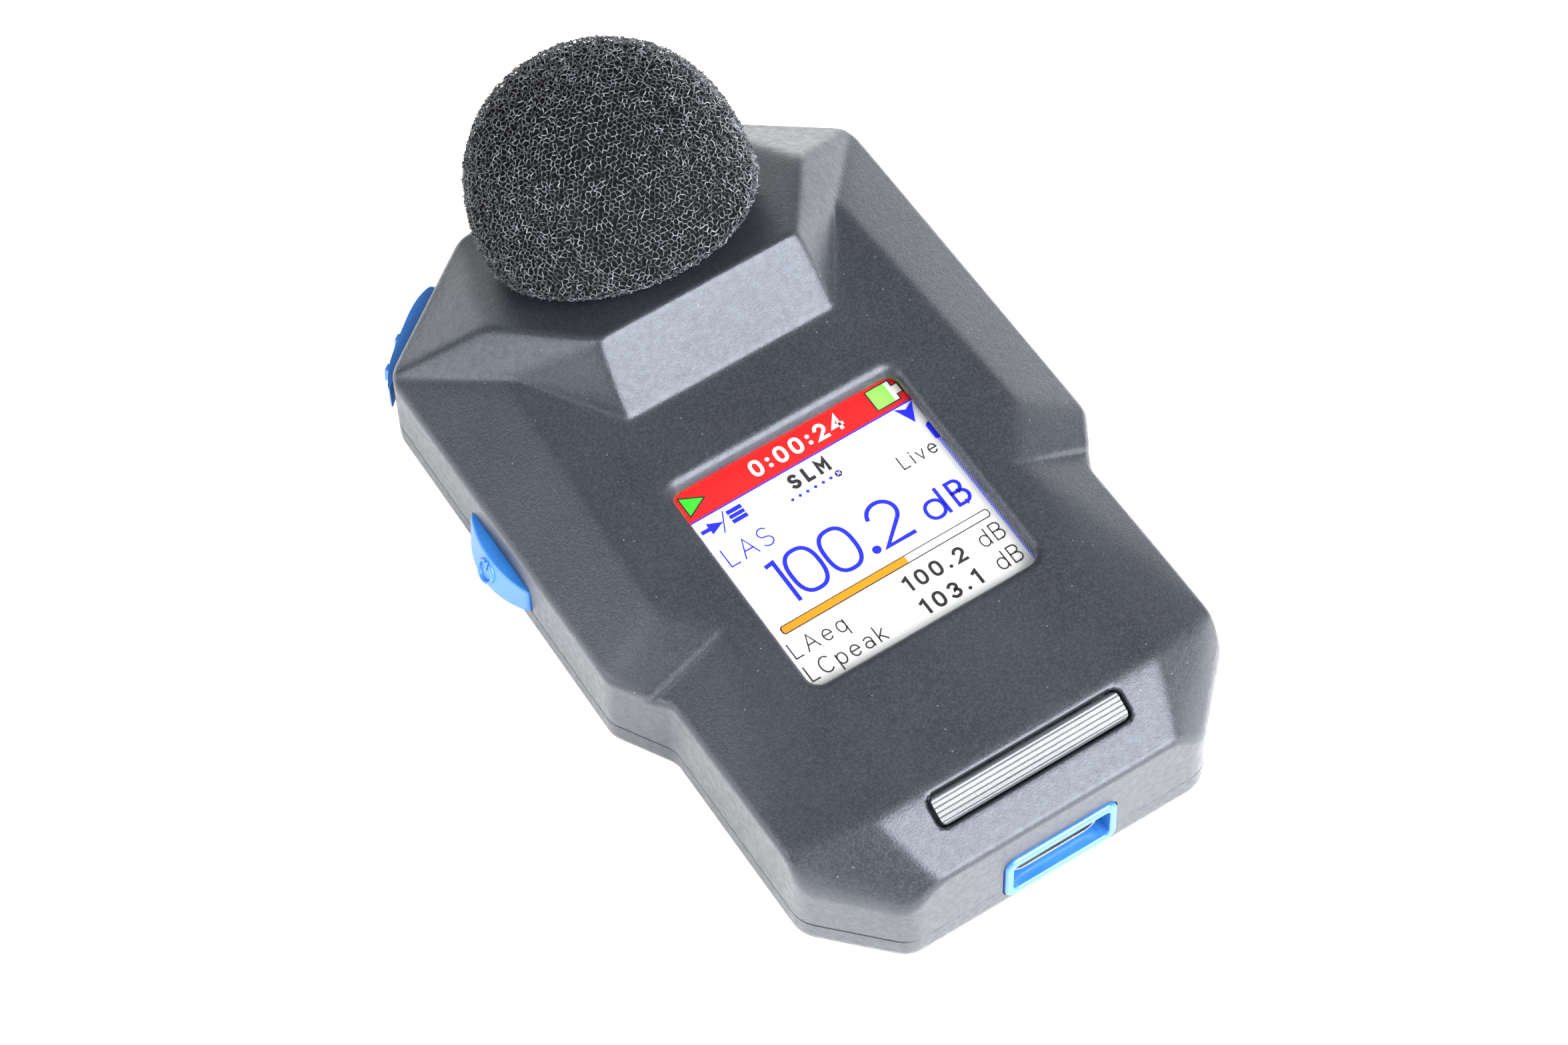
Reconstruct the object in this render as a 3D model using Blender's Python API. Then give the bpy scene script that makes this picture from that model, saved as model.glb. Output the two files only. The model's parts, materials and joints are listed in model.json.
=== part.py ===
"""Clip-on sound level meter: faceted two-part case, square colour display, inclined microphone with foam windscreen.

Metres, +Z up, the object lies on its back. X runs across the case, Y along it toward the microphone.
"""

import math

import bmesh
import bpy
from mathutils import Matrix, Vector

for _old in list(bpy.data.objects):
    bpy.data.objects.remove(_old, do_unlink=True)

# ---------------------------------------------------------------- driving dimensions (mm)
Y_SHIFT = -41.4        # puts the middle of the whole length at y = 0
GAP = 0.3              # clearance between neighbouring pieces

Z_PART = 4.0           # height of the parting line
Z_TOP = 15.7           # main face
WALL = 1.8             # case wall
FLOOR = 2.0            # rear shell floor

# half of the plan outline, bottom end first: x, y, corner radius
PLAN = [(14.9, 0.0, 3.0), (21.6, 6.9, 3.0), (21.6, 26.6, 2.5), (24.8, 32.0, 2.5), (24.5, 69.3, 3.2), (11.6, 78.5, 3.2)]

SCREEN_W = 23.0        # visible square of the display
SCREEN_Y = 31.4        # its middle
Z_PANE = 14.3          # top of the display window

WS_Y, WS_Z = 68.1, 15.835   # where the microphone axis meets the sloping platform
TILT = math.radians(25.5)  # microphone axis leans toward +Y
RIDGE_Y, RIDGE_Z = 55.93, 21.64
WS_R = 13.0            # windscreen radius
WS_TOP = 17.6          # windscreen height along its axis

PWR_Y, PWR_Z, PWR_L, PWR_H = 50.1, 5.75, 9.6, 3.1
SH_U, SH_Z, SH_L, SH_H = 1.4, 5.75, 6.8, 3.1   # stem of the shoulder buttons: middle, height, length along the wall, depth along Z
BUTTON_TRAVEL = 0.25

USB_X, USB_Z = 0.2, 5.5
MM = 0.001

DG = bpy.context.evaluated_depsgraph_get


# ---------------------------------------------------------------- helpers
def material(name, color, rough, metal=0.0):
    m = bpy.data.materials.new(name)
    m.use_nodes = True
    b = m.node_tree.nodes["Principled BSDF"]
    b.inputs["Base Color"].default_value = (*color, 1.0)
    b.inputs["Roughness"].default_value = rough
    b.inputs["Metallic"].default_value = metal
    m.diffuse_color = (*color, 1.0)
    return m


def from_bm(bm, name):
    mesh = bpy.data.meshes.new(name)
    bmesh.ops.recalc_face_normals(bm, faces=bm.faces)
    bm.to_mesh(mesh)
    bm.free()
    obj = bpy.data.objects.new(name, mesh)
    bpy.context.collection.objects.link(obj)
    return obj


def from_data(verts, faces, name="tmp"):
    """Points in mm, before the shift along Y."""
    mesh = bpy.data.meshes.new(name)
    mesh.from_pydata([tuple(c * MM for c in v) for v in verts], [], faces)
    bm = bmesh.new()
    bm.from_mesh(mesh)
    bpy.data.meshes.remove(mesh)
    bmesh.ops.remove_doubles(bm, verts=bm.verts, dist=1e-7)
    return from_bm(bm, name)


def prism(pts, z0, z1, name="tmp", frame=None):
    n = len(pts)
    verts = [(x, y, z0) for x, y in pts] + [(x, y, z1) for x, y in pts]
    if frame is not None:
        verts = [tuple(frame @ Vector(v)) for v in verts]
    faces = [tuple(range(n))[::-1], tuple(range(n, 2 * n))]
    faces += [(i, (i + 1) % n, n + (i + 1) % n, n + i) for i in range(n)]
    return from_data(verts, faces, name)


def box(x0, x1, y0, y1, z0, z1, name="tmp", frame=None):
    return prism([(x0, y0), (x1, y0), (x1, y1), (x0, y1)], z0, z1, name, frame)


def rounded_box(x0, x1, y0, y1, z0, z1, r, name="tmp", seg=4, frame=None):
    return prism(round_poly([(x0, y0, r), (x1, y0, r), (x1, y1, r), (x0, y1, r)], seg), z0, z1, name, frame)


def revolve(profile, seg=32, name="tmp", frame=None, cap=True):
    """Profile of (radius, height) pairs from the axis round to the axis."""
    verts, faces, rings = [], [], []
    for r, h in profile:
        if r < 1e-6:
            rings.append([len(verts)])
            verts.append((0, 0, h))
        else:
            rings.append(list(range(len(verts), len(verts) + seg)))
            verts += [(r * math.cos(2 * math.pi * k / seg), r * math.sin(2 * math.pi * k / seg), h) for k in range(seg)]
    pairs = list(zip(rings, rings[1:]))
    if profile[0][0] > 1e-6 and cap:
        pairs.append((rings[-1], rings[0]))
    for a, b in pairs:
        for k in range(seg):
            k2 = (k + 1) % seg
            if len(a) == 1 and len(b) == 1:
                continue
            if len(a) == 1:
                faces.append((a[0], b[k], b[k2]))
            elif len(b) == 1:
                faces.append((a[k], a[k2], b[0]))
            else:
                faces.append((a[k], a[k2], b[k2], b[k]))
    if frame is not None:
        verts = [tuple(frame @ Vector(v)) for v in verts]
    return from_data(verts, faces, name)


def hull(points, name="tmp"):
    bm = bmesh.new()
    for p in points:
        bm.verts.new([c * MM for c in p])
    bmesh.ops.convex_hull(bm, input=bm.verts)
    bmesh.ops.dissolve_limit(bm, angle_limit=math.radians(0.5), verts=bm.verts, edges=bm.edges)
    return from_bm(bm, name)


def bake(obj):
    """Applies the modifiers and keeps the object."""
    bpy.context.view_layer.update()
    mesh = bpy.data.meshes.new_from_object(obj.evaluated_get(DG()))
    obj.modifiers.clear()
    obj.data = mesh
    return obj


def tidy(obj):
    """Closes the hairline slits that a Boolean can leave along a straight edge."""
    bm = bmesh.new()
    bm.from_mesh(obj.data)
    bmesh.ops.remove_doubles(bm, verts=bm.verts, dist=1e-6)
    loose = [e for e in bm.edges if len(e.link_faces) == 1]
    if loose:
        bmesh.ops.holes_fill(bm, edges=loose, sides=5)
        bmesh.ops.dissolve_degenerate(bm, dist=1e-6, edges=bm.edges)
    bm.to_mesh(obj.data)
    bm.free()


def boolean(target, others, operation):
    for other in others if isinstance(others, (list, tuple)) else [others]:
        mod = target.modifiers.new("b", "BOOLEAN")
        mod.operation = operation
        mod.solver = "EXACT"
        mod.object = other
        bake(target)
        tidy(target)
        bpy.data.objects.remove(other, do_unlink=True)
    return target


def cut(target, *others):
    return boolean(target, others, "DIFFERENCE")


def join(target, *others):
    return boolean(target, others, "UNION")


def common(target, *others):
    return boolean(target, others, "INTERSECT")


def bevel(obj, width, segments=2, angle=20.0, test=None):
    bm = bmesh.new()
    bm.from_mesh(obj.data)
    bmesh.ops.remove_doubles(bm, verts=bm.verts, dist=2e-6)
    bmesh.ops.dissolve_limit(bm, angle_limit=math.radians(1.0), verts=bm.verts, edges=bm.edges)
    edges = [
        e for e in bm.edges
        if len(e.link_faces) == 2 and e.calc_face_angle() > math.radians(angle) and (test is None or test(e))
    ]
    bmesh.ops.bevel(bm, geom=edges, offset=width * MM, segments=segments, profile=0.5, affect="EDGES", clamp_overlap=True)
    bmesh.ops.remove_doubles(bm, verts=bm.verts, dist=1e-6)
    bmesh.ops.recalc_face_normals(bm, faces=bm.faces)
    bm.to_mesh(obj.data)
    bm.free()
    return obj


def offset_poly(pts, d):
    """Moves each edge of a counter-clockwise polygon (x, y, radius) inward by d."""
    n, out = len(pts), []
    for i in range(n):
        p, a, b = Vector(pts[i][:2]), Vector(pts[i - 1][:2]), Vector(pts[(i + 1) % n][:2])
        e0, e1 = (p - a).normalized(), (b - p).normalized()
        n0, n1 = Vector((-e0.y, e0.x)), Vector((-e1.y, e1.x))
        m = (n0 + n1) / (1 + n0.dot(n1))
        q = p + m * d
        convex = e0.x * e1.y - e0.y * e1.x > 0
        out.append((q.x, q.y, max(0.2, pts[i][2] - d if convex else pts[i][2] + d)))
    return out


def round_poly(pts, seg=3):
    n, out = len(pts), []
    for i in range(n):
        p, a, b = Vector(pts[i][:2]), Vector(pts[i - 1][:2]), Vector(pts[(i + 1) % n][:2])
        r = pts[i][2]
        u, v = (a - p).normalized(), (b - p).normalized()
        ang = u.angle(v)
        if r < 0.05 or ang > math.pi - 0.02:
            out.append((p.x, p.y))
            continue
        t = r / math.tan(ang / 2)
        c = p + (u + v).normalized() * (r / math.sin(ang / 2))
        s, e = p + u * t, p + v * t
        a0, a1 = math.atan2(s.y - c.y, s.x - c.x), math.atan2(e.y - c.y, e.x - c.x)
        da = (a1 - a0 + math.pi) % (2 * math.pi) - math.pi
        out += [(c.x + r * math.cos(a0 + da * k / seg), c.y + r * math.sin(a0 + da * k / seg)) for k in range(seg + 1)]
    return out


def full_plan():
    right = PLAN
    left = [(-x, y, r) for x, y, r in reversed(PLAN)]
    return right + left  # counter-clockwise


def outline(d, seg=3):
    return round_poly(offset_poly(full_plan(), d), seg)


def both(points):
    return points + [(-x, y, z) for x, y, z in points]


def finish(obj, name, mat, origin=None, axis_parent=None):
    """Names the piece, shifts it along Y, sets its origin (mm, before the shift) and material."""
    obj.name = name
    obj.data.name = name
    obj.data.transform(Matrix.Translation((0, Y_SHIFT * MM, 0)))
    if origin is not None:
        o = Vector((origin[0], origin[1] + Y_SHIFT, origin[2])) * MM
        obj.data.transform(Matrix.Translation(-o))
        obj.location = o
    obj.data.materials.clear()
    obj.data.materials.append(mat)
    for poly in obj.data.polygons:
        poly.material_index = 0
        poly.use_smooth = False
    return obj


# ---------------------------------------------------------------- materials
M_CASE = material("case_plastic", (0.075, 0.08, 0.09), 0.55)
M_REAR = material("rear_plastic", (0.07, 0.075, 0.085), 0.55)
M_RUBBER = material("seal_rubber", (0.01, 0.01, 0.012), 0.7)
M_BLUE = material("blue_silicone", (0.02, 0.12, 0.55), 0.5)
M_BLUE2 = material("blue_surround", (0.03, 0.14, 0.6), 0.5)
M_GLASS = material("window_acrylic", (0.75, 0.78, 0.8), 0.08)
M_PANEL = material("display_panel_face", (0.8, 0.8, 0.8), 0.3)
M_TRAY = material("tray_plastic", (0.55, 0.55, 0.55), 0.6)
M_FLEX = material("polyimide_flex", (0.45, 0.2, 0.03), 0.45)
M_PIPE = material("clear_light_pipe", (0.8, 0.82, 0.84), 0.12)
M_LED = material("led_body", (0.9, 0.9, 0.82), 0.4)
M_PCB = material("board_green", (0.01, 0.12, 0.05), 0.5)
M_STEEL = material("steel", (0.6, 0.6, 0.6), 0.3, 1.0)
M_CHIP = material("chip_epoxy", (0.02, 0.02, 0.02), 0.5)
M_CELL = material("cell_pouch", (0.6, 0.62, 0.64), 0.35, 0.6)
M_PAD = material("foam_pad", (0.05, 0.05, 0.05), 0.95)
M_BRASS = material("brass", (0.75, 0.55, 0.2), 0.3, 1.0)
M_ALU = material("aluminium", (0.55, 0.56, 0.58), 0.35, 1.0)
M_FOAM = material("windscreen_foam", (0.03, 0.03, 0.032), 1.0)
M_WHITE = material("connector_plastic", (0.8, 0.78, 0.7), 0.5)

# ---------------------------------------------------------------- frames
MIC = Matrix.Translation((0, WS_Y, WS_Z)) @ Matrix.Rotation(-TILT, 4, "X")  # +Z of this frame is the microphone axis


def shoulder_frame(side):
    """Origin in the middle of the shoulder chamfer; x along the wall toward the side, y out of the wall, z up."""
    e, t = Vector((PLAN[4][0], PLAN[4][1], 0)), Vector((PLAN[5][0], PLAN[5][1], 0))
    mid, u = (e + t) / 2, (e - t).normalized()
    n = Vector((-u.y, u.x, 0))
    f = Matrix((
        (u.x * side, n.x * side, 0, mid.x * side),
        (u.y, n.y, 0, mid.y),
        (0, 0, 1, 0),
        (0, 0, 0, 1),
    ))
    return f


# ---------------------------------------------------------------- case outer form
Z0F = Z_PART + 0.15
plateau = lambda y, d=0.0: RIDGE_Z - d - math.tan(TILT) * (y - RIDGE_Y)

upper = hull(both([
    (21.6, 26.6, 0), (26.0, 34.0, 0), (26.0, 69.0, 0), (24.5, 69.3, 0), (11.6, 78.5, 0),
    (21.2, 26.3, 11.9), (24.7, 32.1, 11.4), (24.4, 69.3, 10.6), (11.6, 78.5, 10.87),
    (15.2, 28.5, Z_TOP), (18.6, 33.5, Z_TOP), (17.0, 60.0, Z_TOP), (11.0, 66.0, Z_TOP),
]))
lower = hull(both([
    (21.6, 28.0, 0), (21.6, 6.9, 0), (14.9, 0.0, 0), (15.0, 32.0, 0),
    (21.6, 28.0, 11.75), (21.6, 8.6, 12.7), (21.5, 6.9, 10.2), (14.8, 0.0, 9.9), (12.1, 0.0, 12.35),
    (14.1, 6.4, Z_TOP), (15.2, 28.5, Z_TOP), (15.2, 32.0, Z_TOP - 0.4),
]))
platform = hull(both([
    (10.3, RIDGE_Y, RIDGE_Z), (10.8, 50.8, Z_TOP), (17.0, 60.0, Z_TOP), (16.4, 65.0, plateau(65.0)),
    (24.4, 69.3, 10.6), (11.6, 78.5, plateau(78.5)),
    (10.8, 50.8, 6), (20.0, 60.0, 6), (24.4, 69.3, 6), (11.6, 78.5, 6),
]))
case = join(upper, lower, platform)
case = common(case, prism(outline(0.0), Z0F, 30))
bevel(case, 0.7, 2, 9.0, lambda e: min(v.co.z for v in e.verts) > (Z0F + 1.0) * MM)

# hollow
in_upper = hull(both([
    (19.6, 28.6, 0), (22.7, 33.2, 0), (22.4, 68.4, 0), (11.0, 76.7, 0),
    (19.3, 28.6, 10.7), (22.5, 33.2, 9.9), (22.2, 68.4, 9.2), (11.0, 76.7, 9.0),
    (14.6, 30.3, Z_TOP - 2), (17.6, 34.5, Z_TOP - 2), (16.0, 60.0, Z_TOP - 2), (11.0, 64.0, Z_TOP - 2.2),
]))
in_lower = hull(both([
    (19.7, 31.5, 0), (19.7, 8.0, 0), (14.2, 1.9, 0),
    (19.7, 31.5, 10.5), (19.7, 9.0, 10.9), (19.6, 8.0, 9.0), (14.1, 1.9, 8.6), (11.6, 1.9, 11.0),
    (13.9, 7.4, Z_TOP - 2), (14.4, 31.5, Z_TOP - 2),
]))
in_platform = hull(both([
    (8.9, 57.7, plateau(57.7, 2.3)), (9.4, 52.8, Z_TOP - 2), (15.4, 60.8, Z_TOP - 2.2), (14.6, 65.0, plateau(65.0, 2.4)),
    (22.0, 68.4, 9.0), (10.8, 76.7, plateau(76.7, 2.4)),
    (9.4, 52.8, 0), (16.0, 60.8, 0), (22.0, 68.4, 0), (10.8, 76.7, 0),
]))
case = cut(case, join(in_upper, in_lower, in_platform, prism(outline(WALL + 0.05), -1, Z_PART + 2.2)))

# ---------------------------------------------------------------- openings
S0, S1 = SCREEN_Y - SCREEN_W / 2, SCREEN_Y + SCREEN_W / 2
H = SCREEN_W / 2
cut(case, rounded_box(-H, H, S0, S1, 10, 20, 1.2))
cut(case, rounded_box(-13.4, 13.4, SCREEN_Y - 13.4, SCREEN_Y + 13.4, 12, Z_PANE + GAP, 1.5))

# bar lens in the bright lower slope
G_ANG = math.atan2(Z_TOP - 12.35, 6.4)
LENS = Matrix.Translation((0, 4.55, 12.35 + 4.55 * math.tan(G_ANG))) @ Matrix.Rotation(G_ANG, 4, "X")
cut(case, rounded_box(-9.9, 9.9, -1.65, 1.65, -5, 3, 0.8, frame=LENS))

# microphone hole
cut(case, revolve([(0, -7), (6.3, -7), (6.3, 4), (0, 4)], 40, frame=MIC))

# screw bosses
BOSS = [(17.4, 10.2), (19.4, 59.6)]
BOSSES = [(s * x, y) for s in (1, -1) for x, y in BOSS]
for bx, by in BOSSES:
    top = 11.6 if by < 30 else 12.4
    boss = revolve([(0, Z0F + 0.2), (2.3, Z0F + 0.2), (2.3, top), (0, top)], 20, frame=Matrix.Translation((bx, by, 0)))
    join(case, boss)
    cut(case, revolve([(0, 0), (1.75, 0), (1.75, 9.4), (0, 9.4)], 20, frame=Matrix.Translation((bx, by, 0))))

# ---------------------------------------------------------------- rear shell
rear = prism(outline(0.0), 0.0, Z_PART - 0.15)
bevel(rear, 1.8, 3, 60.0, lambda e: max(v.co.z for v in e.verts) < 0.5 * MM)
cut(rear, prism(outline(2.6), FLOOR, 12))
lip = prism(outline(2.15, 2), FLOOR + 0.1, Z_PART + 1.6)
cut(lip, prism(outline(3.1, 2), 0, 12))
join(rear, lip)
cut(rear, *[revolve([(0, -1), (2.0, -1), (2.0, 1.0), (1.2, 1.8), (1.2, 4), (0, 4)], 20, frame=Matrix.Translation((bx, by, 0))) for bx, by in BOSSES])

# clearance for the bosses inside the lip
for bx, by in BOSSES:
    cut(rear, revolve([(0, FLOOR + 1.0), (2.7, FLOOR + 1.0), (2.7, 12), (0, 12)], 20, frame=Matrix.Translation((bx, by, 0))))

# ---------------------------------------------------------------- usb opening, shared by both shells
USB = Matrix.Translation((USB_X, 0, USB_Z)) @ Matrix.Rotation(math.radians(90), 4, "X")  # local y = up, local z = -Y
usb_out = lambda g, z0, z1: rounded_box(-5.7 - g, 5.7 + g, -3.0 - g, 3.0 + g, z0, z1, 1.15 + g, frame=USB)
cut(case, usb_out(GAP, -4.6, 4))
cut(rear, usb_out(GAP, -4.6, 4))
cut(case, box(-8.2, 8.2, 1.95, 4.6, USB_Z - 3.9, USB_Z + 3.9))
cut(rear, box(-8.2, 8.2, 1.95, 4.6, FLOOR, USB_Z + 3.9))

usb_surround = usb_out(0, -2.2, 0.35)
bevel(usb_surround, 0.3, 1, 60.0, lambda e: max(v.co.y for v in e.verts) < -0.3 * MM)
join(usb_surround, rounded_box(-7.4, 7.4, -3.0, 3.4, -4.2, -2.3, 0.8, frame=USB), box(-4.9, 4.9, -2.6, 2.6, -3.0, -2.0, frame=USB))
cut(usb_surround, rounded_box(-4.9, 4.9, -2.0, 2.0, -5, 2, 0.6, frame=USB))

# ---------------------------------------------------------------- power button opening, shared by both shells
PW_X = -24.65


def arc_face(half, bulge, seg=8):
    """Points of a shallow arc from -half to +half that stands out by bulge at its middle."""
    r = (half * half + bulge * bulge) / (2 * bulge)
    a = math.asin(half / r)
    return [(r * math.sin(t), r * math.cos(t) - (r - bulge)) for t in [-a + 2 * a * k / seg for k in range(seg + 1)]]


PWR = Matrix((
    (0, -1, 0, PW_X),
    (1, 0, 0, PWR_Y),
    (0, 0, 1, 0),
    (0, 0, 0, 1),
))  # local x = +Y, local y = out of the left wall


def slant(obj, frame, zc, slope, start):
    """Leans the outer face: points further out than start stand less proud toward the top."""
    back = frame.inverted()
    for v in obj.data.vertices:
        p = back @ (v.co / MM)
        if p.y > start:
            p.y *= 1 - slope * (p.z - zc)
            v.co = (frame @ p) * MM


def button(length, height, zc, bulge, proud, flange_in, stub, frame, name):
    h = length / 2
    face = [(x, y + proud) for x, y in arc_face(h, bulge)]
    plan = [(-h - 1.0, -flange_in - 0.7), (h + 1.0, -flange_in - 0.7), (h + 1.0, -flange_in), (h, -flange_in)]
    plan += [(x, y) for x, y in reversed(face)] + [(-h, -flange_in), (-h - 1.0, -flange_in)]
    body = prism(plan, zc - height / 2, zc + height / 2, frame=frame)
    bevel(body, 0.45, 2, 40.0, lambda e: all((frame.inverted() @ (v.co / MM)).y > -0.5 for v in e.verts))
    ring = revolve([(0.88, 0.8), (1.24, 0.8), (1.24, proud + bulge + 0.3), (0.88, proud + bulge + 0.3)], 20,
                   frame=frame @ Matrix.Translation((0, 0, zc)) @ Matrix.Rotation(math.radians(-90), 4, "X"))
    join(body, ring)
    slant(body, frame, zc, 0.164, 0.05)
    join(body, box(-1.2, 1.2, -flange_in - 0.7 - stub, -flange_in - 0.4, zc - 1.2, zc + 1.2, frame=frame))
    return body


def button_cutter(length, height, zc, flange_in, depth, frame):
    h = length / 2 + GAP
    plan = [(-h - 1.13, -depth), (h + 1.13, -depth), (h + 1.13, -flange_in + GAP), (h, -flange_in + GAP), (h, 4), (-h, 4), (-h, -flange_in + GAP), (-h - 1.13, -flange_in + GAP)]
    return prism(plan, zc - height / 2 - GAP, zc + height / 2 + GAP, frame=frame)


PWR_IN = 2.15
cut(case, button_cutter(PWR_L, PWR_H, PWR_Z, PWR_IN, 4.83, PWR))
cut(rear, prism([(-6.4, -5.2), (6.4, -5.2), (6.4, -1.2), (-6.4, -1.2)], Z_PART - 0.1, 12, frame=PWR))
power_button = button(PWR_L, PWR_H, PWR_Z, 1.3, 0.35, PWR_IN, 0.5, PWR, "power_button")

SH = {"left": shoulder_frame(-1), "right": shoulder_frame(1)}
# plan of the cap from its upper end to its lower end: outer face, then the inner face back along the corner
SH_CAP_OUT = [(-4.3, 1.2), (-4.1, 1.75), (-2.8, 2.2), (-1.25, 2.33), (0.3, 2.25), (2.1, 2.12), (3.2, 1.97), (4.3, 1.8), (5.2, 1.55), (6.0, 1.25), (6.6, 0.95), (7.0, 0.72), (7.1, 0.55)]
SH_CAP_IN = [(6.95, 0.5), (6.2, 0.6)]
shoulders = {}
for side, frame in SH.items():
    f = frame @ Matrix.Translation((SH_U, 0, 0))
    h = SH_L / 2
    cut(case, button_cutter(SH_L, SH_H, SH_Z, PWR_IN, 4.83, f))
    cut(rear, prism([(-5.2, -5.2), (5.2, -5.2), (5.2, -1.2), (-5.2, -1.2)], Z_PART - 0.1, 12, frame=f))
    plan = [(SH_U - h - 0.8, -PWR_IN - 0.7), (SH_U + h + 0.8, -PWR_IN - 0.7), (SH_U + h + 0.8, -PWR_IN), (SH_U + h, -PWR_IN), (SH_U + h, 0.6)]
    plan += SH_CAP_IN[::-1] + SH_CAP_OUT[::-1] + [(-4.3, 0.6), (SH_U - h, 0.6), (SH_U - h, -PWR_IN), (SH_U - h - 0.8, -PWR_IN)]
    body = prism(plan, SH_Z - SH_H / 2, SH_Z + SH_H / 2, frame=frame)
    bevel(body, 0.3, 2, 40.0, lambda e: all((frame.inverted() @ (v.co / MM)).y > 0.9 for v in e.verts))
    slant(body, frame, SH_Z, 0.0415, 0.9)
    join(body, box(-1.2, 1.2, -PWR_IN - 1.2, -PWR_IN - 0.4, SH_Z - 1.2, SH_Z + 1.2, frame=f))
    shoulders[side] = body

# ---------------------------------------------------------------- assemble the nodes
finish(case, "front_shell", M_CASE)
finish(rear, "rear_shell", M_REAR)
finish(usb_surround, "usb_surround", M_BLUE2)
finish(power_button, "power_button", M_BLUE, (PW_X, PWR_Y, PWR_Z))
for side, frame in SH.items():
    o = frame @ Vector((SH_U, 0, SH_Z))
    finish(shoulders[side], side + "_shoulder_button", M_BLUE, tuple(o))

# screws and threaded inserts
for i, (bx, by) in enumerate(BOSSES):
    f = Matrix.Translation((bx, by, 0))
    screw = revolve([(0, 0.25), (1.6, 0.25), (1.7, 0.4), (1.7, 0.75), (0.9, 1.5), (0.9, 7.6), (0.6, 8.0), (0, 8.0)], 16, frame=f)
    cut(screw, revolve([(0, -1), (0.55, -1), (0.55, 0.8), (0, 0.8)], 6, frame=f))
    finish(screw, f"case_screw_{i + 1}", M_STEEL)
    insert = revolve([(1.2, 4.9), (1.45, 4.9), (1.45, 5.9), (1.3, 6.1), (1.3, 6.5), (1.45, 6.7), (1.45, 8.7), (1.2, 8.7)], 16, frame=f)
    finish(insert, f"thread_insert_{i + 1}", M_BRASS)

# display stack
pane = rounded_box(-13.1, 13.1, SCREEN_Y - 13.1, SCREEN_Y + 13.1, 13.4, Z_PANE, 1.2)
finish(pane, "display_window", M_GLASS)
panel = rounded_box(-12.6, 12.6, SCREEN_Y - 13.4, SCREEN_Y + 12.4, 12.1, 13.1, 0.3, seg=2)
finish(panel, "display_panel", M_PANEL)
tray = rounded_box(-13.2, 13.2, SCREEN_Y - 14.0, SCREEN_Y + 13.2, 10.9, 11.8, 0.8, seg=2)
finish(tray, "display_tray", M_TRAY)
flex = prism([(16.2, 10.2), (16.2, 12.7), (17.5, 12.7), (17.5, 12.5), (16.4, 12.5), (16.4, 10.2)], -4, 4,
             frame=Matrix(((0, 0, 1, 0), (1, 0, 0, 0), (0, 1, 0, 0), (0, 0, 0, 1))))
finish(flex, "display_flex", M_FLEX)

# light bar, fluted along its length
flutes = [(-1.3, -2.2), (1.3, -2.2), (1.3, -0.15)]
for k in range(6):
    y = 1.2 - 2.4 * k / 6
    flutes += [(y, 0.0), (y - 0.2, 0.12 if k in (1, 4) else 0.06)]
flutes += [(-1.2, 0.0), (-1.3, -0.15)]
bar = prism(flutes, -9.4, 9.4, frame=LENS @ Matrix(((0, 0, 1, 0), (1, 0, 0, 0), (0, 1, 0, 0), (0, 0, 0, 1))))
common(bar, rounded_box(-9.4, 9.4, -1.35, 1.35, -3, 1, 0.55, frame=LENS))
finish(bar, "light_pipe", M_PIPE)
for i, x in enumerate((-5.0, 5.0)):
    finish(box(x - 0.8, x + 0.8, 5.4, 6.6, 10.1, 10.8), f"status_led_{i + 1}", M_LED)

# main board and what sits on it
board = prism(round_poly([(-14.6, 4.9, 1), (14.6, 4.9, 1), (14.6, 56.0, 1), (-14.6, 56.0, 1)], 2), 8.2, 9.8)
finish(board, "main_board", M_PCB)
finish(rounded_box(-9.0, 4.0, 47.4, 55.0, 10.1, 12.0, 0.5, seg=2), "radio_shield", M_STEEL)
finish(box(6.2, 12.2, 48.6, 54.6, 10.1, 11.2), "processor_chip", M_CHIP)
finish(box(8.4, 13.4, 8.0, 12.0, 10.1, 12.4), "battery_connector", M_WHITE)

# battery
finish(rounded_box(-13.4, 13.4, 15.0, 46.0, 2.75, 7.7, 1.2, seg=3), "battery_cell", M_CELL)
finish(box(-11.0, 11.0, 18.0, 43.0, FLOOR + GAP * 0.5, 2.45), "battery_pad", M_PAD)

# usb connector
shell = rounded_box(-4.47, 4.47, -1.63, 1.63, -8.8, -0.8, 1.5, seg=4, frame=USB)
cut(shell, rounded_box(-4.17, 4.17, -1.33, 1.33, -8.4, 0, 1.2, seg=4, frame=USB))
finish(shell, "usb_socket_shell", M_STEEL)
finish(box(-3.3, 3.3, -0.35, 0.35, -8.0, -1.9, frame=USB), "usb_socket_tongue", M_CHIP)
finish(box(-7.5, 7.5, 5.2, 13.6, 2.35, 3.25), "usb_board", M_PCB)

# microphone
housing = revolve([
    (0, -5.0), (8.0, -5.0), (8.0, -3.1), (6.0, -3.1), (6.0, -0.1), (5.0, 0.1), (5.0, 4.0), (3.9, 4.0), (3.9, -3.8), (0, -3.8)
], 32, frame=MIC)
finish(housing, "preamp_housing", M_ALU)
seal = revolve([(6.5, -2.8), (7.6, -2.8), (7.6, -2.3), (6.5, -2.3)], 32, frame=MIC)
finish(seal, "microphone_seal", M_RUBBER)
capsule = revolve([(0, -1.5), (2.0, -1.5), (2.0, 0.5), (3.3, 0.9), (3.3, 4.3), (4.9, 4.3), (4.9, 5.4), (4.35, 5.4), (4.35, 7.4), (0, 7.4)], 32, frame=MIC)
finish(capsule, "microphone_capsule", M_STEEL)
grid = revolve([(0, 7.9), (4.7, 7.9), (4.7, 5.8), (5.05, 5.8), (5.05, 8.1), (4.6, 8.5), (0, 8.5)], 32, frame=MIC)
slots = []
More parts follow.
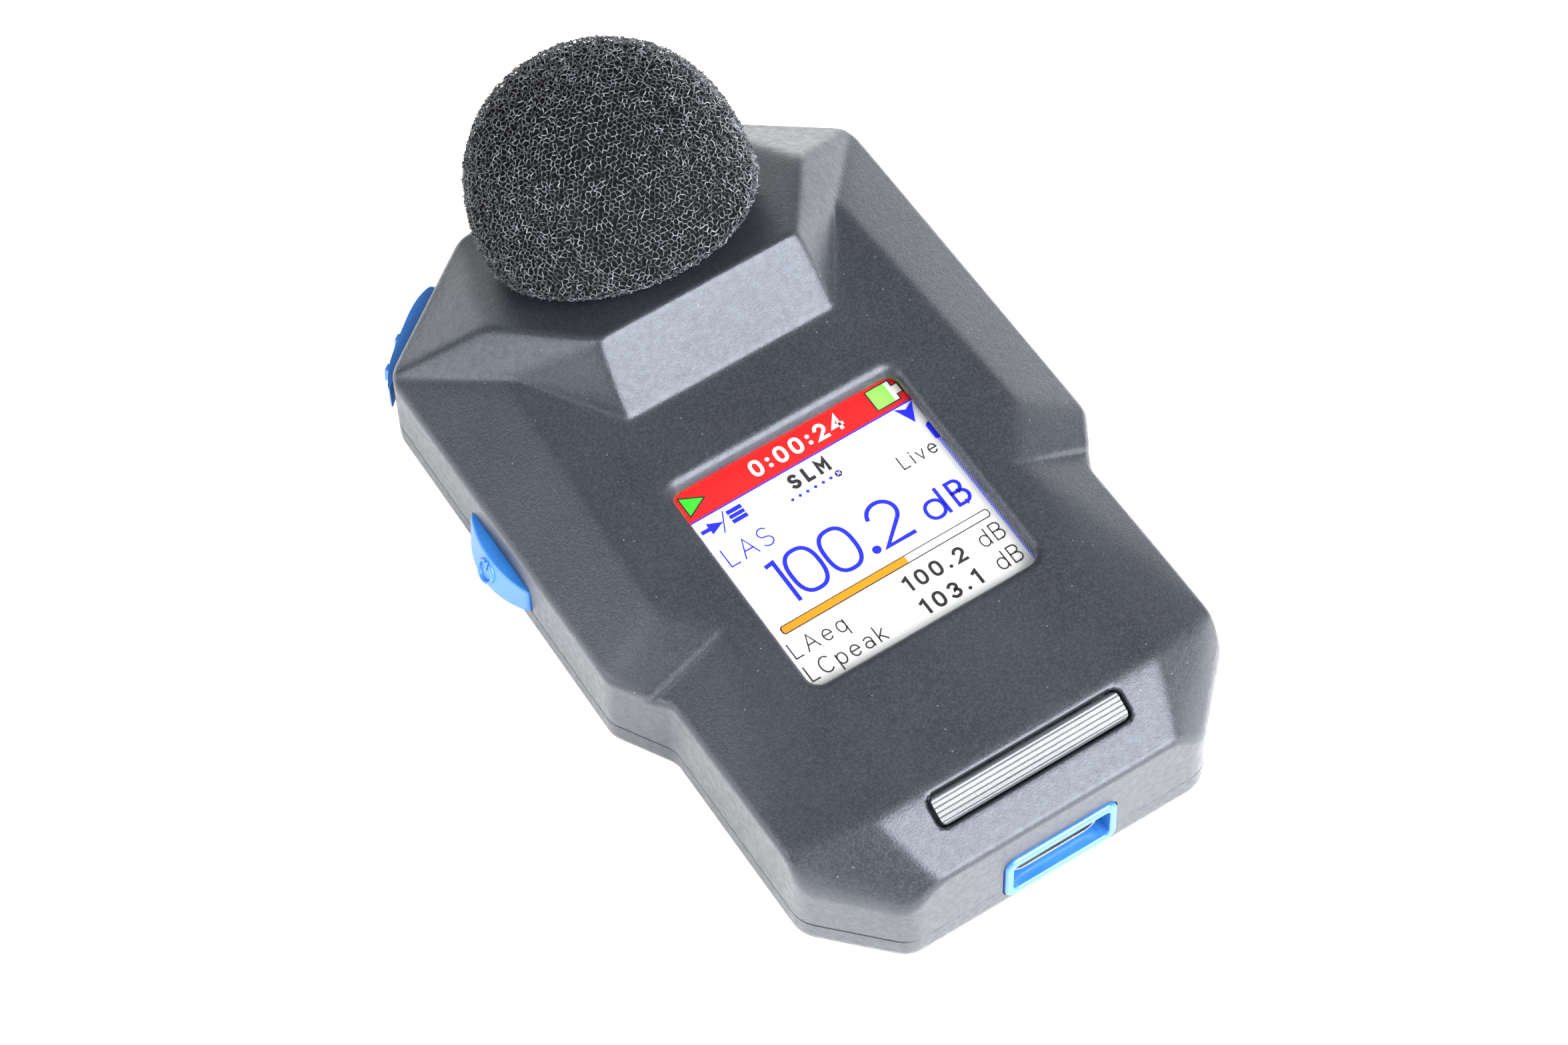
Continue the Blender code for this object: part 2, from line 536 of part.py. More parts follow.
for k in range(8):
    a = math.radians(22.5 + 45 * k)
    s = box(1.4, 4.1, -0.3, 0.3, 7.4, 9.0, frame=MIC @ Matrix.Rotation(a, 4, "Z"))
    slots.append(s)
cut(grid, *slots)
finish(grid, "microphone_grid", M_STEEL)
pre = revolve([(0, -6.6), (6.3, -6.6), (6.3, -5.6), (0, -5.6)], 24, frame=MIC)
finish(pre, "preamp_board", M_PCB)
mflex = prism([(55.4, 10.1), (57.6, 10.1), (60.9, 11.3), (60.83, 11.5), (57.5, 10.3), (55.4, 10.3)], -2.2, 2.2,
              frame=Matrix(((0, 0, 1, 0), (1, 0, 0, 0), (0, 1, 0, 0), (0, 0, 0, 1))))
finish(mflex, "preamp_flex", M_FLEX)

# switches behind the buttons
def switch(frame, zc, depth, name):
    """Side-push switch; its actuator faces the button."""
    body = box(-1.75, 1.75, -depth - 2.2, -depth, zc - 1.5, zc + 1.5, frame=frame)
    join(body, box(-0.8, 0.8, -depth - 0.5, -depth + 0.6, zc - 0.6, zc + 0.6, frame=frame))
    return body


SW_D = PWR_IN + 0.7 + 0.5 + BUTTON_TRAVEL + 0.2 + 0.6
finish(switch(PWR, PWR_Z, SW_D, ""), "power_switch", M_CHIP)
finish(box(-5.0, 5.0, -SW_D - 3.3, -SW_D - 2.5, 2.3, 7.9, frame=PWR), "power_switch_board", M_PCB)
for side, frame in SH.items():
    f = frame @ Matrix.Translation((SH_U, 0, 0))
    finish(switch(f, SH_Z, SW_D, ""), side + "_switch", M_CHIP)
    finish(box(-4.0, 3.2, -SW_D - 3.3, -SW_D - 2.5, 2.4, 7.8, frame=f), side + "_switch_board", M_PCB)

# windscreen: rounded dome that draws in toward its flat base
WS_S0, WS_RB, WS_POW = 2.5, 10.65, 2.33
prof = []
N = 13
for k in range(N + 1):
    t = math.pi / 2 * (1 - k / N)
    sv = WS_S0 + (WS_TOP - WS_S0) * math.sin(t)
    prof.append((WS_R * max(0.0, 1 - math.sin(t) ** WS_POW) ** (1 / WS_POW), sv))
for k in range(1, 6):
    t = math.pi / 2 * k / 5
    prof.append((WS_RB + (WS_R - WS_RB) * math.cos(t), WS_S0 - (WS_S0 - 0.35) * math.sin(t)))
prof += [(5.5, 0.35), (5.5, 9.6), (5.0, 10.1), (0, 10.1)]
screen_foam = revolve(prof, 48, frame=MIC)
finish(screen_foam, "windscreen", M_FOAM, tuple(MIC @ Vector((0, 0, 0.35))))
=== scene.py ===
import json
import math

import bmesh
import bpy
import numpy as np
from mathutils import Matrix, Vector

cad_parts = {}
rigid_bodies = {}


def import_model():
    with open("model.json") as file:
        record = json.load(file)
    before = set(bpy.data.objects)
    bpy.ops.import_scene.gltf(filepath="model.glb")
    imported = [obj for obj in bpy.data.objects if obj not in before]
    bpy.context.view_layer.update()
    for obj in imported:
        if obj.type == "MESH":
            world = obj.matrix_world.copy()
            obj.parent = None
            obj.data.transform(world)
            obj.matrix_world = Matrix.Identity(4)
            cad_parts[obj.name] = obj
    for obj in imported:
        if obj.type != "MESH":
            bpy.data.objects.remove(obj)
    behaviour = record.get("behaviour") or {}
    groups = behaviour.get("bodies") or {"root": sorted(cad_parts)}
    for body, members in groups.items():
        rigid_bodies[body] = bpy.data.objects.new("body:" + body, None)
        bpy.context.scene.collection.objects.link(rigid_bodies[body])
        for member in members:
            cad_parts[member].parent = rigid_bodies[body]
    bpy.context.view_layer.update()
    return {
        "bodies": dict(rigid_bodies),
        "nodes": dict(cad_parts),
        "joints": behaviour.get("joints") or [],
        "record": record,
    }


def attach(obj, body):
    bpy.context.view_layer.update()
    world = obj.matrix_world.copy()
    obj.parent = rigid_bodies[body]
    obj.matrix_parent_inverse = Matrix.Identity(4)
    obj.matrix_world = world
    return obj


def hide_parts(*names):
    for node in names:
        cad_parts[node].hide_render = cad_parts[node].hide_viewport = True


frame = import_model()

KEEP = set(frame["nodes"].values()) | set(frame["bodies"].values())
for _o in list(bpy.data.objects):
    if _o not in KEEP:
        bpy.data.objects.remove(_o, do_unlink=True)
SCENE = bpy.context.scene
NODES = frame["nodes"]
MM = 0.001
YS = -41.4          # mm, the same shift along Y that the CAD has

# ================================================================ dimensions shared with the CAD (mm, before the shift)
Z_PART, Z_TOP, WALL, GAP = 4.0, 15.7, 1.8, 0.3
PLAN = [(14.9, 0.0, 3.0), (21.6, 6.9, 3.0), (21.6, 26.6, 2.5), (24.8, 32.0, 2.5), (24.5, 69.3, 3.2), (11.6, 78.5, 3.2)]
SCREEN_W, SCREEN_Y, Z_PANE = 23.0, 31.4, 14.3
WS_Y, WS_Z, TILT = 68.1, 15.835, math.radians(25.5)
RIDGE_Y, RIDGE_Z = 55.93, 21.64
PWR_Y, PWR_Z, PWR_L, PWR_H, PW_X = 50.1, 5.75, 9.6, 3.1, -24.65
SH_U, SH_Z, SH_L, SH_H = 1.4, 5.75, 6.8, 3.1
USB_X, USB_Z = 0.2, 5.5
MIC = Matrix.Translation((0, WS_Y, WS_Z)) @ Matrix.Rotation(-TILT, 4, "X")
G_ANG = math.atan2(Z_TOP - 12.35, 6.4)
LENS = Matrix.Translation((0, 4.55, 12.35 + 4.55 * math.tan(G_ANG))) @ Matrix.Rotation(G_ANG, 4, "X")
USB = Matrix.Translation((USB_X, 0, USB_Z)) @ Matrix.Rotation(math.radians(90), 4, "X")
PWR = Matrix(((0, -1, 0, PW_X), (1, 0, 0, PWR_Y), (0, 0, 1, 0), (0, 0, 0, 1)))
plateau = lambda y, d=0.0: RIDGE_Z - d - math.tan(TILT) * (y - RIDGE_Y)


def shoulder_frame(side):
    e, t = Vector((PLAN[4][0], PLAN[4][1], 0)), Vector((PLAN[5][0], PLAN[5][1], 0))
    mid, u = (e + t) / 2, (e - t).normalized()
    n = Vector((-u.y, u.x, 0))
    return Matrix(((u.x * side, n.x * side, 0, mid.x * side), (u.y, n.y, 0, mid.y), (0, 0, 1, 0), (0, 0, 0, 1)))


# ================================================================ camera
cam_data = bpy.data.cameras.new("camera")
cam = bpy.data.objects.new("camera", cam_data)
SCENE.collection.objects.link(cam)
SCENE.camera = cam
cam_data.sensor_width, cam_data.sensor_fit = 36.0, "HORIZONTAL"
cam_data.lens = 7533.1 / 2352 * 36.0
cam_data.clip_start, cam_data.clip_end = 0.01, 20
_R = ((0.83992525, -0.54233364, -0.01999472), (-0.47309802, -0.71365227, -0.51660304), (0.26590193, 0.4433674, -0.85599154))
_m = Matrix((_R[0], [-c for c in _R[1]], [-c for c in _R[2]])).transposed().to_4x4()
_m.translation = Vector((-0.11934, -0.19740, 0.38382))
cam.matrix_world = _m


# ================================================================ mesh helpers
def DG():
    return bpy.context.evaluated_depsgraph_get()


def new_obj(mesh, name="tmp"):
    obj = bpy.data.objects.new(name, mesh)
    SCENE.collection.objects.link(obj)
    return obj


def from_bm(bm, name="tmp"):
    mesh = bpy.data.meshes.new(name)
    bmesh.ops.recalc_face_normals(bm, faces=bm.faces)
    bm.to_mesh(mesh)
    bm.free()
    return new_obj(mesh, name)


def from_data(verts, faces, name="tmp"):
    mesh = bpy.data.meshes.new(name)
    mesh.from_pydata([tuple(c * MM for c in v) for v in verts], [], faces)
    bm = bmesh.new()
    bm.from_mesh(mesh)
    bpy.data.meshes.remove(mesh)
    bmesh.ops.remove_doubles(bm, verts=bm.verts, dist=1e-7)
    return from_bm(bm, name)


def prism(pts, z0, z1, name="tmp", frame=None):
    n = len(pts)
    verts = [(x, y, z0) for x, y in pts] + [(x, y, z1) for x, y in pts]
    if frame is not None:
        verts = [tuple(frame @ Vector(v)) for v in verts]
    faces = [tuple(range(n))[::-1], tuple(range(n, 2 * n))]
    faces += [(i, (i + 1) % n, n + (i + 1) % n, n + i) for i in range(n)]
    return from_data(verts, faces, name)


def box(x0, x1, y0, y1, z0, z1, name="tmp", frame=None):
    return prism([(x0, y0), (x1, y0), (x1, y1), (x0, y1)], z0, z1, name, frame)


def rounded_box(x0, x1, y0, y1, z0, z1, r, name="tmp", seg=10, frame=None):
    return prism(round_poly([(x0, y0, r), (x1, y0, r), (x1, y1, r), (x0, y1, r)], seg), z0, z1, name, frame)


def revolve(profile, seg=64, name="tmp", frame=None, cap=True):
    verts, faces, rings = [], [], []
    for r, h in profile:
        if r < 1e-6:
            rings.append([len(verts)])
            verts.append((0, 0, h))
        else:
            rings.append(list(range(len(verts), len(verts) + seg)))
            verts += [(r * math.cos(2 * math.pi * k / seg), r * math.sin(2 * math.pi * k / seg), h) for k in range(seg)]
    pairs = list(zip(rings, rings[1:]))
    if profile[0][0] > 1e-6 and cap:
        pairs.append((rings[-1], rings[0]))
    for a, b in pairs:
        for k in range(seg):
            k2 = (k + 1) % seg
            if len(a) == 1 and len(b) == 1:
                continue
            if len(a) == 1:
                faces.append((a[0], b[k], b[k2]))
            elif len(b) == 1:
                faces.append((a[k], a[k2], b[0]))
            else:
                faces.append((a[k], a[k2], b[k2], b[k]))
    if frame is not None:
        verts = [tuple(frame @ Vector(v)) for v in verts]
    return from_data(verts, faces, name)


def hull(points, name="tmp"):
    bm = bmesh.new()
    for p in points:
        bm.verts.new([c * MM for c in p])
    bmesh.ops.convex_hull(bm, input=bm.verts)
    bmesh.ops.dissolve_limit(bm, angle_limit=math.radians(0.5), verts=bm.verts, edges=bm.edges)
    return from_bm(bm, name)


def bake(obj):
    bpy.context.view_layer.update()
    mesh = bpy.data.meshes.new_from_object(obj.evaluated_get(DG()))
    obj.modifiers.clear()
    obj.data = mesh
    return obj


def boolean(target, others, operation):
    for other in others if isinstance(others, (list, tuple)) else [others]:
        mod = target.modifiers.new("b", "BOOLEAN")
        mod.operation = operation
        mod.solver = "EXACT"
        mod.object = other
        bake(target)
        bpy.data.objects.remove(other, do_unlink=True)
    return target


def cut(target, *others):
    return boolean(target, others, "DIFFERENCE")


def join(target, *others):
    return boolean(target, others, "UNION")


def common(target, *others):
    return boolean(target, others, "INTERSECT")


def bevel(obj, width, segments=3, angle=20.0, test=None):
    bm = bmesh.new()
    bm.from_mesh(obj.data)
    bmesh.ops.remove_doubles(bm, verts=bm.verts, dist=2e-6)
    bmesh.ops.dissolve_limit(bm, angle_limit=math.radians(0.5), verts=bm.verts, edges=bm.edges)
    edges = [
        e for e in bm.edges
        if len(e.link_faces) == 2 and e.calc_face_angle() > math.radians(angle) and (test is None or test(e))
    ]
    bmesh.ops.bevel(bm, geom=edges, offset=width * MM, segments=segments, profile=0.5, affect="EDGES", clamp_overlap=True)
    bmesh.ops.remove_doubles(bm, verts=bm.verts, dist=1e-6)
    bmesh.ops.recalc_face_normals(bm, faces=bm.faces)
    bm.to_mesh(obj.data)
    bm.free()
    return obj


def offset_poly(pts, d):
    n, out = len(pts), []
    for i in range(n):
        p, a, b = Vector(pts[i][:2]), Vector(pts[i - 1][:2]), Vector(pts[(i + 1) % n][:2])
        e0, e1 = (p - a).normalized(), (b - p).normalized()
        n0, n1 = Vector((-e0.y, e0.x)), Vector((-e1.y, e1.x))
        m = (n0 + n1) / (1 + n0.dot(n1))
        q = p + m * d
        convex = e0.x * e1.y - e0.y * e1.x > 0
        out.append((q.x, q.y, max(0.2, pts[i][2] - d if convex else pts[i][2] + d)))
    return out


def arcs(pts):
    """For each rounded corner of a polygon: its centre, radius, start point, end point and whether it is convex."""
    n, out = len(pts), []
    for i in range(n):
        p, a, b = Vector(pts[i][:2]), Vector(pts[i - 1][:2]), Vector(pts[(i + 1) % n][:2])
        r = pts[i][2]
        u, v = (a - p).normalized(), (b - p).normalized()
        ang = u.angle(v)
        t = r / math.tan(ang / 2)
        c = p + (u + v).normalized() * (r / math.sin(ang / 2))
        cross = (p - a).x * (b - p).y - (p - a).y * (b - p).x
        out.append((c, r, p + u * t, p + v * t, cross > 0))
    return out


def round_poly(pts, seg=8):
    out = []
    for c, r, s, e, _ in arcs(pts):
        a0, a1 = math.atan2(s.y - c.y, s.x - c.x), math.atan2(e.y - c.y, e.x - c.x)
        da = (a1 - a0 + math.pi) % (2 * math.pi) - math.pi
        out += [(c.x + r * math.cos(a0 + da * k / seg), c.y + r * math.sin(a0 + da * k / seg)) for k in range(seg + 1)]
    return out


def full_plan():
    return PLAN + [(-x, y, r) for x, y, r in reversed(PLAN)]


def outline(d, seg=10):
    return round_poly(offset_poly(full_plan(), d), seg)


def both(points):
    return points + [(-x, y, z) for x, y, z in points]


def shade(obj, angle=32.0):
    me = obj.data
    me.polygons.foreach_set("use_smooth", np.ones(len(me.polygons), bool))
    me.set_sharp_from_angle(angle=math.radians(angle))


def weighted(obj):
    m = obj.modifiers.new("w", "WEIGHTED_NORMAL")
    m.keep_sharp = True
    m.weight = 60


def place(obj, name, body, mats, node=None, angle=32.0, weight=True, smooth=True):
    """Names the piece, shifts it along Y like the CAD, gives it materials and rides it on its body."""
    obj.name = name
    obj.data.name = name
    obj.data.transform(Matrix.Translation((0, YS * MM, 0)))
    mats = mats if isinstance(mats, (list, tuple)) else [mats]
    keep = [p.material_index for p in obj.data.polygons] if len(mats) > 1 else None
    obj.data.materials.clear()
    for m in mats:
        obj.data.materials.append(m)
    if keep:
        obj.data.polygons.foreach_set("material_index", keep)
    if smooth:
        shade(obj, angle)
        if weight:
            weighted(obj)
    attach(obj, body)
    if node:
        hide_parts(*(node if isinstance(node, (list, tuple)) else [node]))
    return obj


# ================================================================ materials
class Nodes:
    """Short way to write a node material."""

    def __init__(self, name):
        self.m = bpy.data.materials.new(name)
        self.m.use_nodes = True
        self.t = self.m.node_tree
        self.b = self.t.nodes["Principled BSDF"]
        self.out = self.t.nodes["Material Output"]
        self.geo = None

    def n(self, kind, **kw):
        node = self.t.nodes.new(kind)
        for k, v in kw.items():
            setattr(node, k, v)
        return node

    def link(self, a, b):
        self.t.links.new(a, b)

    def coord(self, scale=(1, 1, 1), rot=(0, 0, 0)):
        tc = self.n("ShaderNodeTexCoord")
        mp = self.n("ShaderNodeMapping")
        mp.inputs["Scale"].default_value = scale
        mp.inputs["Rotation"].default_value = rot
        self.link(tc.outputs["Object"], mp.inputs["Vector"])
        return mp.outputs["Vector"]

    def noise(self, scale, detail=2.0, rough=0.5, vec=None, dist=0.0):
        x = self.n("ShaderNodeTexNoise")
        x.inputs["Scale"].default_value = scale
        x.inputs["Detail"].default_value = detail
        x.inputs["Roughness"].default_value = rough
        x.inputs["Distortion"].default_value = dist
        self.link(vec if vec is not None else self.coord(), x.inputs["Vector"])
        return x.outputs["Fac"]

    def voronoi(self, scale, feature="F1", out="Distance", vec=None, rand=1.0):
        x = self.n("ShaderNodeTexVoronoi", feature=feature)
        x.inputs["Scale"].default_value = scale
        x.inputs["Randomness"].default_value = rand
        self.link(vec if vec is not None else self.coord(), x.inputs["Vector"])
        return x.outputs[out]

    def ramp(self, fac, stops, interp="LINEAR"):
        x = self.n("ShaderNodeValToRGB")
        x.color_ramp.interpolation = interp
        e = x.color_ramp.elements
        while len(e) < len(stops):
            e.new(0.5)
        for i, (p, c) in enumerate(stops):
            e[i].position = p
            e[i].color = (*c, 1.0) if len(c) == 3 else c
        self.link(fac, x.inputs["Fac"])
        return x.outputs["Color"]

    def grey(self, fac, lo, hi, a=0.0, b=1.0):
        x = self.n("ShaderNodeMapRange")
        x.inputs["From Min"].default_value = a
        x.inputs["From Max"].default_value = b
        x.inputs["To Min"].default_value = lo
        x.inputs["To Max"].default_value = hi
        self.link(fac, x.inputs["Value"])
        return x.outputs["Result"]

    def math(self, op, a, b=None, clamp=False):
        x = self.n("ShaderNodeMath", operation=op, use_clamp=clamp)
        for i, v in enumerate((a, b)):
            if v is None:
                continue
            if isinstance(v, (int, float)):
                x.inputs[i].default_value = v
            else:
                self.link(v, x.inputs[i])
        return x.outputs[0]

    def mix(self, fac, a, b, blend="MIX"):
        x = self.n("ShaderNodeMix", data_type="RGBA", blend_type=blend)
        ia, ib = [s for s in x.inputs if s.name == "A" and s.type == "RGBA"][0], [s for s in x.inputs if s.name == "B" and s.type == "RGBA"][0]
        for v, s in ((fac, x.inputs[0]), (a, ia), (b, ib)):
            if isinstance(v, (int, float)):
                s.default_value = v
            elif isinstance(v, tuple):
                s.default_value = (*v, 1.0)
            else:
                self.link(v, s)
        return [s for s in x.outputs if s.type == "RGBA"][0]

    def bump(self, height, dist, strength=1.0, after=None):
        x = self.n("ShaderNodeBump")
        x.inputs["Strength"].default_value = strength
        x.inputs["Distance"].default_value = dist
        self.link(height, x.inputs["Height"])
        if after is not None:
            self.link(after, x.inputs["Normal"])
        return x.outputs["Normal"]

    def set(self, **kw):
        for k, v in kw.items():
            s = self.b.inputs[k.replace("_", " ")]
            if isinstance(v, (int, float)):
                s.default_value = v
            elif isinstance(v, tuple):
                s.default_value = (*v, 1.0) if s.type == "RGBA" and len(v) == 3 else v
            else:
                self.link(v, s)
        return self


def plastic(name, dark, light, rough, grain=1.0, specks=True, spec=0.5):
    """Fine spark-eroded moulded plastic: grain from noise, a few pale specks, faint cloudiness."""
    k = Nodes(name)
    fine = k.noise(5200, 3.0, 0.6)
    coarse = k.noise(1500, 2.0, 0.5)
    cloud = k.noise(90, 3.0, 0.5)
    col = k.mix(k.grey(cloud, 0.0, 1.0, 0.35, 0.65), dark, light)
    col = k.mix(k.grey(fine, 0.0, 0.55, 0.42, 0.72), col, tuple(min(1.0, c * 1.9 + 0.008) for c in light))
    if specks:
        v = k.voronoi(1500, "F1", "Distance")
        g = k.voronoi(1500, "F1", "Color")
        sep = k.n("ShaderNodeSeparateColor")
        k.link(g, sep.inputs[0])
        pick = k.math("GREATER_THAN", sep.outputs[0], 0.93)
        dot = k.math("MULTIPLY", pick, k.math("LESS_THAN", v, 0.12))
        col = k.mix(k.math("MULTIPLY", dot, 0.22), col, (0.35, 0.36, 0.38))
    r = k.grey(coarse, rough - 0.05, rough + 0.07, 0.3, 0.7)
    h = k.math("ADD", k.math("MULTIPLY", fine, 0.75), k.math("MULTIPLY", coarse, 0.3))
    k.set(Base_Color=col, Roughness=r, Normal=k.bump(h, 0.00006 * grain, 0.7), Specular_IOR_Level=spec, Specular_Tint=(0.82, 0.88, 1.0))
    return k.m


M_CASE = plastic("case_plastic", (0.0135, 0.015, 0.019), (0.019, 0.021, 0.026), 0.34)
M_REAR = plastic("rear_plastic", (0.0135, 0.015, 0.019), (0.019, 0.021, 0.026), 0.36)


def silicone(name, deep, pale, rough=0.42):
    k = Nodes(name)
    fine = k.noise(4200, 3.0, 0.6)
    cloud = k.noise(260, 3.0, 0.5)
    dust = k.voronoi(1900, "F1", "Distance")
    col = k.mix(k.grey(cloud, 0.0, 1.0, 0.3, 0.7), deep, pale)
    col = k.mix(k.grey(fine, 0.0, 0.25, 0.5, 0.75), col, tuple(min(1.0, c * 1.5 + 0.03) for c in pale))
    h = k.math("ADD", fine, k.math("MULTIPLY", dust, 0.3))
    k.set(Base_Color=col, Roughness=k.grey(cloud, rough - 0.05, rough + 0.06), Normal=k.bump(h, 0.00003, 0.5),
          Subsurface_Weight=0.08, Subsurface_Radius=(0.0004, 0.0008, 0.002), Subsurface_Scale=1.0, Specular_IOR_Level=0.85)
    return k.m


M_BLUE = silicone("blue_silicone", (0.010, 0.13, 0.44), (0.016, 0.165, 0.52))
M_BLUE2 = silicone("blue_surround", (0.010, 0.10, 0.36), (0.014, 0.125, 0.42), 0.36)


def simple(name, a, b, scale, r0, r1, metal=0.0, bump=0.00001, detail=3.0, stretch=(1, 1, 1), **kw):
    k = Nodes(name)
    vec = k.coord(stretch)
    f = k.noise(scale, detail, 0.55, vec)
    f2 = k.noise(scale * 0.13, 2.0, 0.5, vec)
    col = k.mix(k.grey(f, 0.0, 1.0, 0.3, 0.7), a, b)
    col = k.mix(k.grey(f2, 0.0, 0.4, 0.35, 0.7), col, tuple(c * 0.7 for c in a))
    k.set(Base_Color=col, Roughness=k.grey(f2, r0, r1, 0.3, 0.7), Metallic=metal, Normal=k.bump(f, bump, 0.6), **kw)
    return k.m


M_STEEL = simple("steel", (0.52, 0.52, 0.53), (0.66, 0.66, 0.67), 2600, 0.2, 0.36, 1.0, 0.000006, stretch=(1, 8, 8))
M_BRASS = simple("brass", (0.62, 0.43, 0.15), (0.78, 0.58, 0.24), 2400, 0.24, 0.4, 1.0, 0.000008)
M_ALU = simple("aluminium", (0.5, 0.51, 0.53), (0.62, 0.63, 0.65), 3000, 0.28, 0.42, 1.0, 0.000008)
M_TRAY = simple("tray_plastic", (0.5, 0.5, 0.5), (0.6, 0.6, 0.6), 2200, 0.5, 0.62)
M_FLEX = simple("polyimide_flex", (0.42, 0.17, 0.02), (0.55, 0.25, 0.04), 900, 0.35, 0.5, stretch=(6, 1, 1))
M_CHIP = simple("chip_epoxy", (0.014, 0.014, 0.015), (0.026, 0.026, 0.028), 3600, 0.42, 0.58, 0.0, 0.00001)
M_CELL = simple("cell_pouch", (0.5, 0.52, 0.54), (0.64, 0.66, 0.68), 420, 0.28, 0.42, 0.7, 0.00004)
M_PAD = simple("foam_pad", (0.03, 0.03, 0.032), (0.06, 0.06, 0.064), 2500, 0.85, 0.98, 0.0, 0.00012)
M_RUBBER = simple("seal_rubber", (0.008, 0.008, 0.009), (0.016, 0.016, 0.018), 2800, 0.6, 0.75, 0.0, 0.00001)
M_WHITE = simple("connector_plastic", (0.7, 0.67, 0.58), (0.8, 0.77, 0.68), 1800, 0.42, 0.55)
M_LED = simple("led_body", (0.8, 0.8, 0.68), (0.9, 0.9, 0.8), 2200, 0.3, 0.45)


def board():
    k = Nodes("board_green")
    vec = k.coord((1, 1, 1))
    tr = k.n("ShaderNodeTexBrick")
    tr.inputs["Scale"].default_value = 420
    tr.inputs["Mortar Size"].default_value = 0.035
    tr.inputs["Color1"].default_value = (0.006, 0.085, 0.035, 1)
    tr.inputs["Color2"].default_value = (0.01, 0.11, 0.045, 1)
    tr.inputs["Mortar"].default_value = (0.03, 0.19, 0.08, 1)
    k.link(vec, tr.inputs["Vector"])
    via = k.voronoi(520, "F1", "Distance", vec, 0.9)
    ring = k.math("LESS_THAN", via, 0.16)
    col = k.mix(ring, tr.outputs["Color"], (0.62, 0.5, 0.25))
    k.set(Base_Color=col, Roughness=k.grey(k.noise(900), 0.32, 0.5), Normal=k.bump(tr.outputs["Fac"], 0.00002, 0.5), Metallic=k.math("MULTIPLY", ring, 0.8))
    return k.m


M_PCB = board()


def window():
    """Clear flat acrylic: sight goes straight through, and the sheen follows Fresnel."""
    k = Nodes("window_acrylic")
    fr = k.n("ShaderNodeFresnel")
    fr.inputs["IOR"].default_value = 1.49
    haze = k.noise(350, 3.0, 0.5)
    a = k.math("ADD", fr.outputs[0], k.grey(haze, 0.0, 0.006, 0.4, 0.7), True)
    # sight leaves the pane unbent, so its back faces would read as total reflection
    a = k.math("MULTIPLY", a, k.math("SUBTRACT", 1.0, k.n("ShaderNodeNewGeometry").outputs["Backfacing"]))
    k.set(Base_Color=(0.9, 0.92, 0.95), Metallic=1.0, Roughness=k.grey(haze, 0.03, 0.07), Alpha=a)
    return k.m


M_GLASS = window()


def lightpipe():
    """Ribbed clear bar with fine moulding streaks along it."""
    k = Nodes("clear_light_pipe")
    streak = k.noise(420, 3.0, 0.55, k.coord((0.12, 3.0, 3.0)))
    fine = k.noise(2600, 2.0, 0.5)
    col = k.mix(k.grey(streak, 0.0, 1.0, 0.3, 0.7), (0.05, 0.055, 0.065), (0.24, 0.25, 0.28))
    k.set(Base_Color=col, Roughness=k.grey(streak, 0.14, 0.32), Transmission_Weight=0.6, IOR=1.49,
          Normal=k.bump(k.math("ADD", streak, k.math("MULTIPLY", fine, 0.2)), 0.00003, 0.6), Specular_IOR_Level=0.6)
    return k.m


M_PIPE = lightpipe()


def lcd(name, col, painted_glow=0.0, dots=None):
    """Reflective colour memory display: fine square pixel grid on every colour. Any emission is painted glow, since the
    display has no backlight.
    """
    k = Nodes(name)
    vec = k.coord((1, 1, 1))
    ch = k.n("ShaderNodeTexChecker")
    ch.inputs["Scale"].default_value = 7800
    ch.inputs["Color1"].default_value = (1, 1, 1, 1)
    ch.inputs["Color2"].default_value = (0.93, 0.93, 0.93, 1) if dots is None else (*dots, 1)
    k.link(vec, ch.inputs["Vector"])
    c = k.mix(1.0, col, ch.outputs["Color"], "MULTIPLY") if dots is None else k.mix(ch.outputs["Fac"], dots, col)
    shadefac = k.noise(60, 2.0)
    c = k.mix(k.grey(shadefac, 0.0, 0.1, 0.3, 0.7), c, tuple(x * 0.85 for x in col))
    k.set(Base_Color=c, Roughness=k.grey(shadefac, 0.4, 0.5), Specular_IOR_Level=0.25)
    # painted glow: the reflective display is lit by emission of its own colour, though it is no lamp
    if painted_glow:
        k.set(Emission_Color=(*col, 1.0), Emission_Strength=painted_glow)
    return k.m


# the last number of each entry is its emission strength: painted glow on a display that has no backlight
M_LCD = {
    "white": lcd("display_panel_face", (0.68, 0.68, 0.68), 0.04),
    "red": lcd("lcd_red", (0.62, 0.004, 0.004), 0.05),
    "blue": lcd("lcd_blue", (0.005, 0.01, 0.7), 0.15),
    "black": lcd("lcd_black", (0.012, 0.012, 0.014)),
    "green": lcd("lcd_green", (0.025, 0.7, 0.015), 0.06),
    "lime": lcd("lcd_lime", (0.2, 0.7, 0.08), 0.06),
    "orange": lcd("lcd_orange", (0.8, 0.2, 0.002), 0.06, dots=(0.7, 0.15, 0.0)),
    "mist": lcd("lcd_mist", (0.08, 0.1, 0.75), 0.1, dots=(0.55, 0.6, 0.9)),
    "pale": lcd("lcd_pale", (0.66, 0.64, 0.64), 0.04),
}


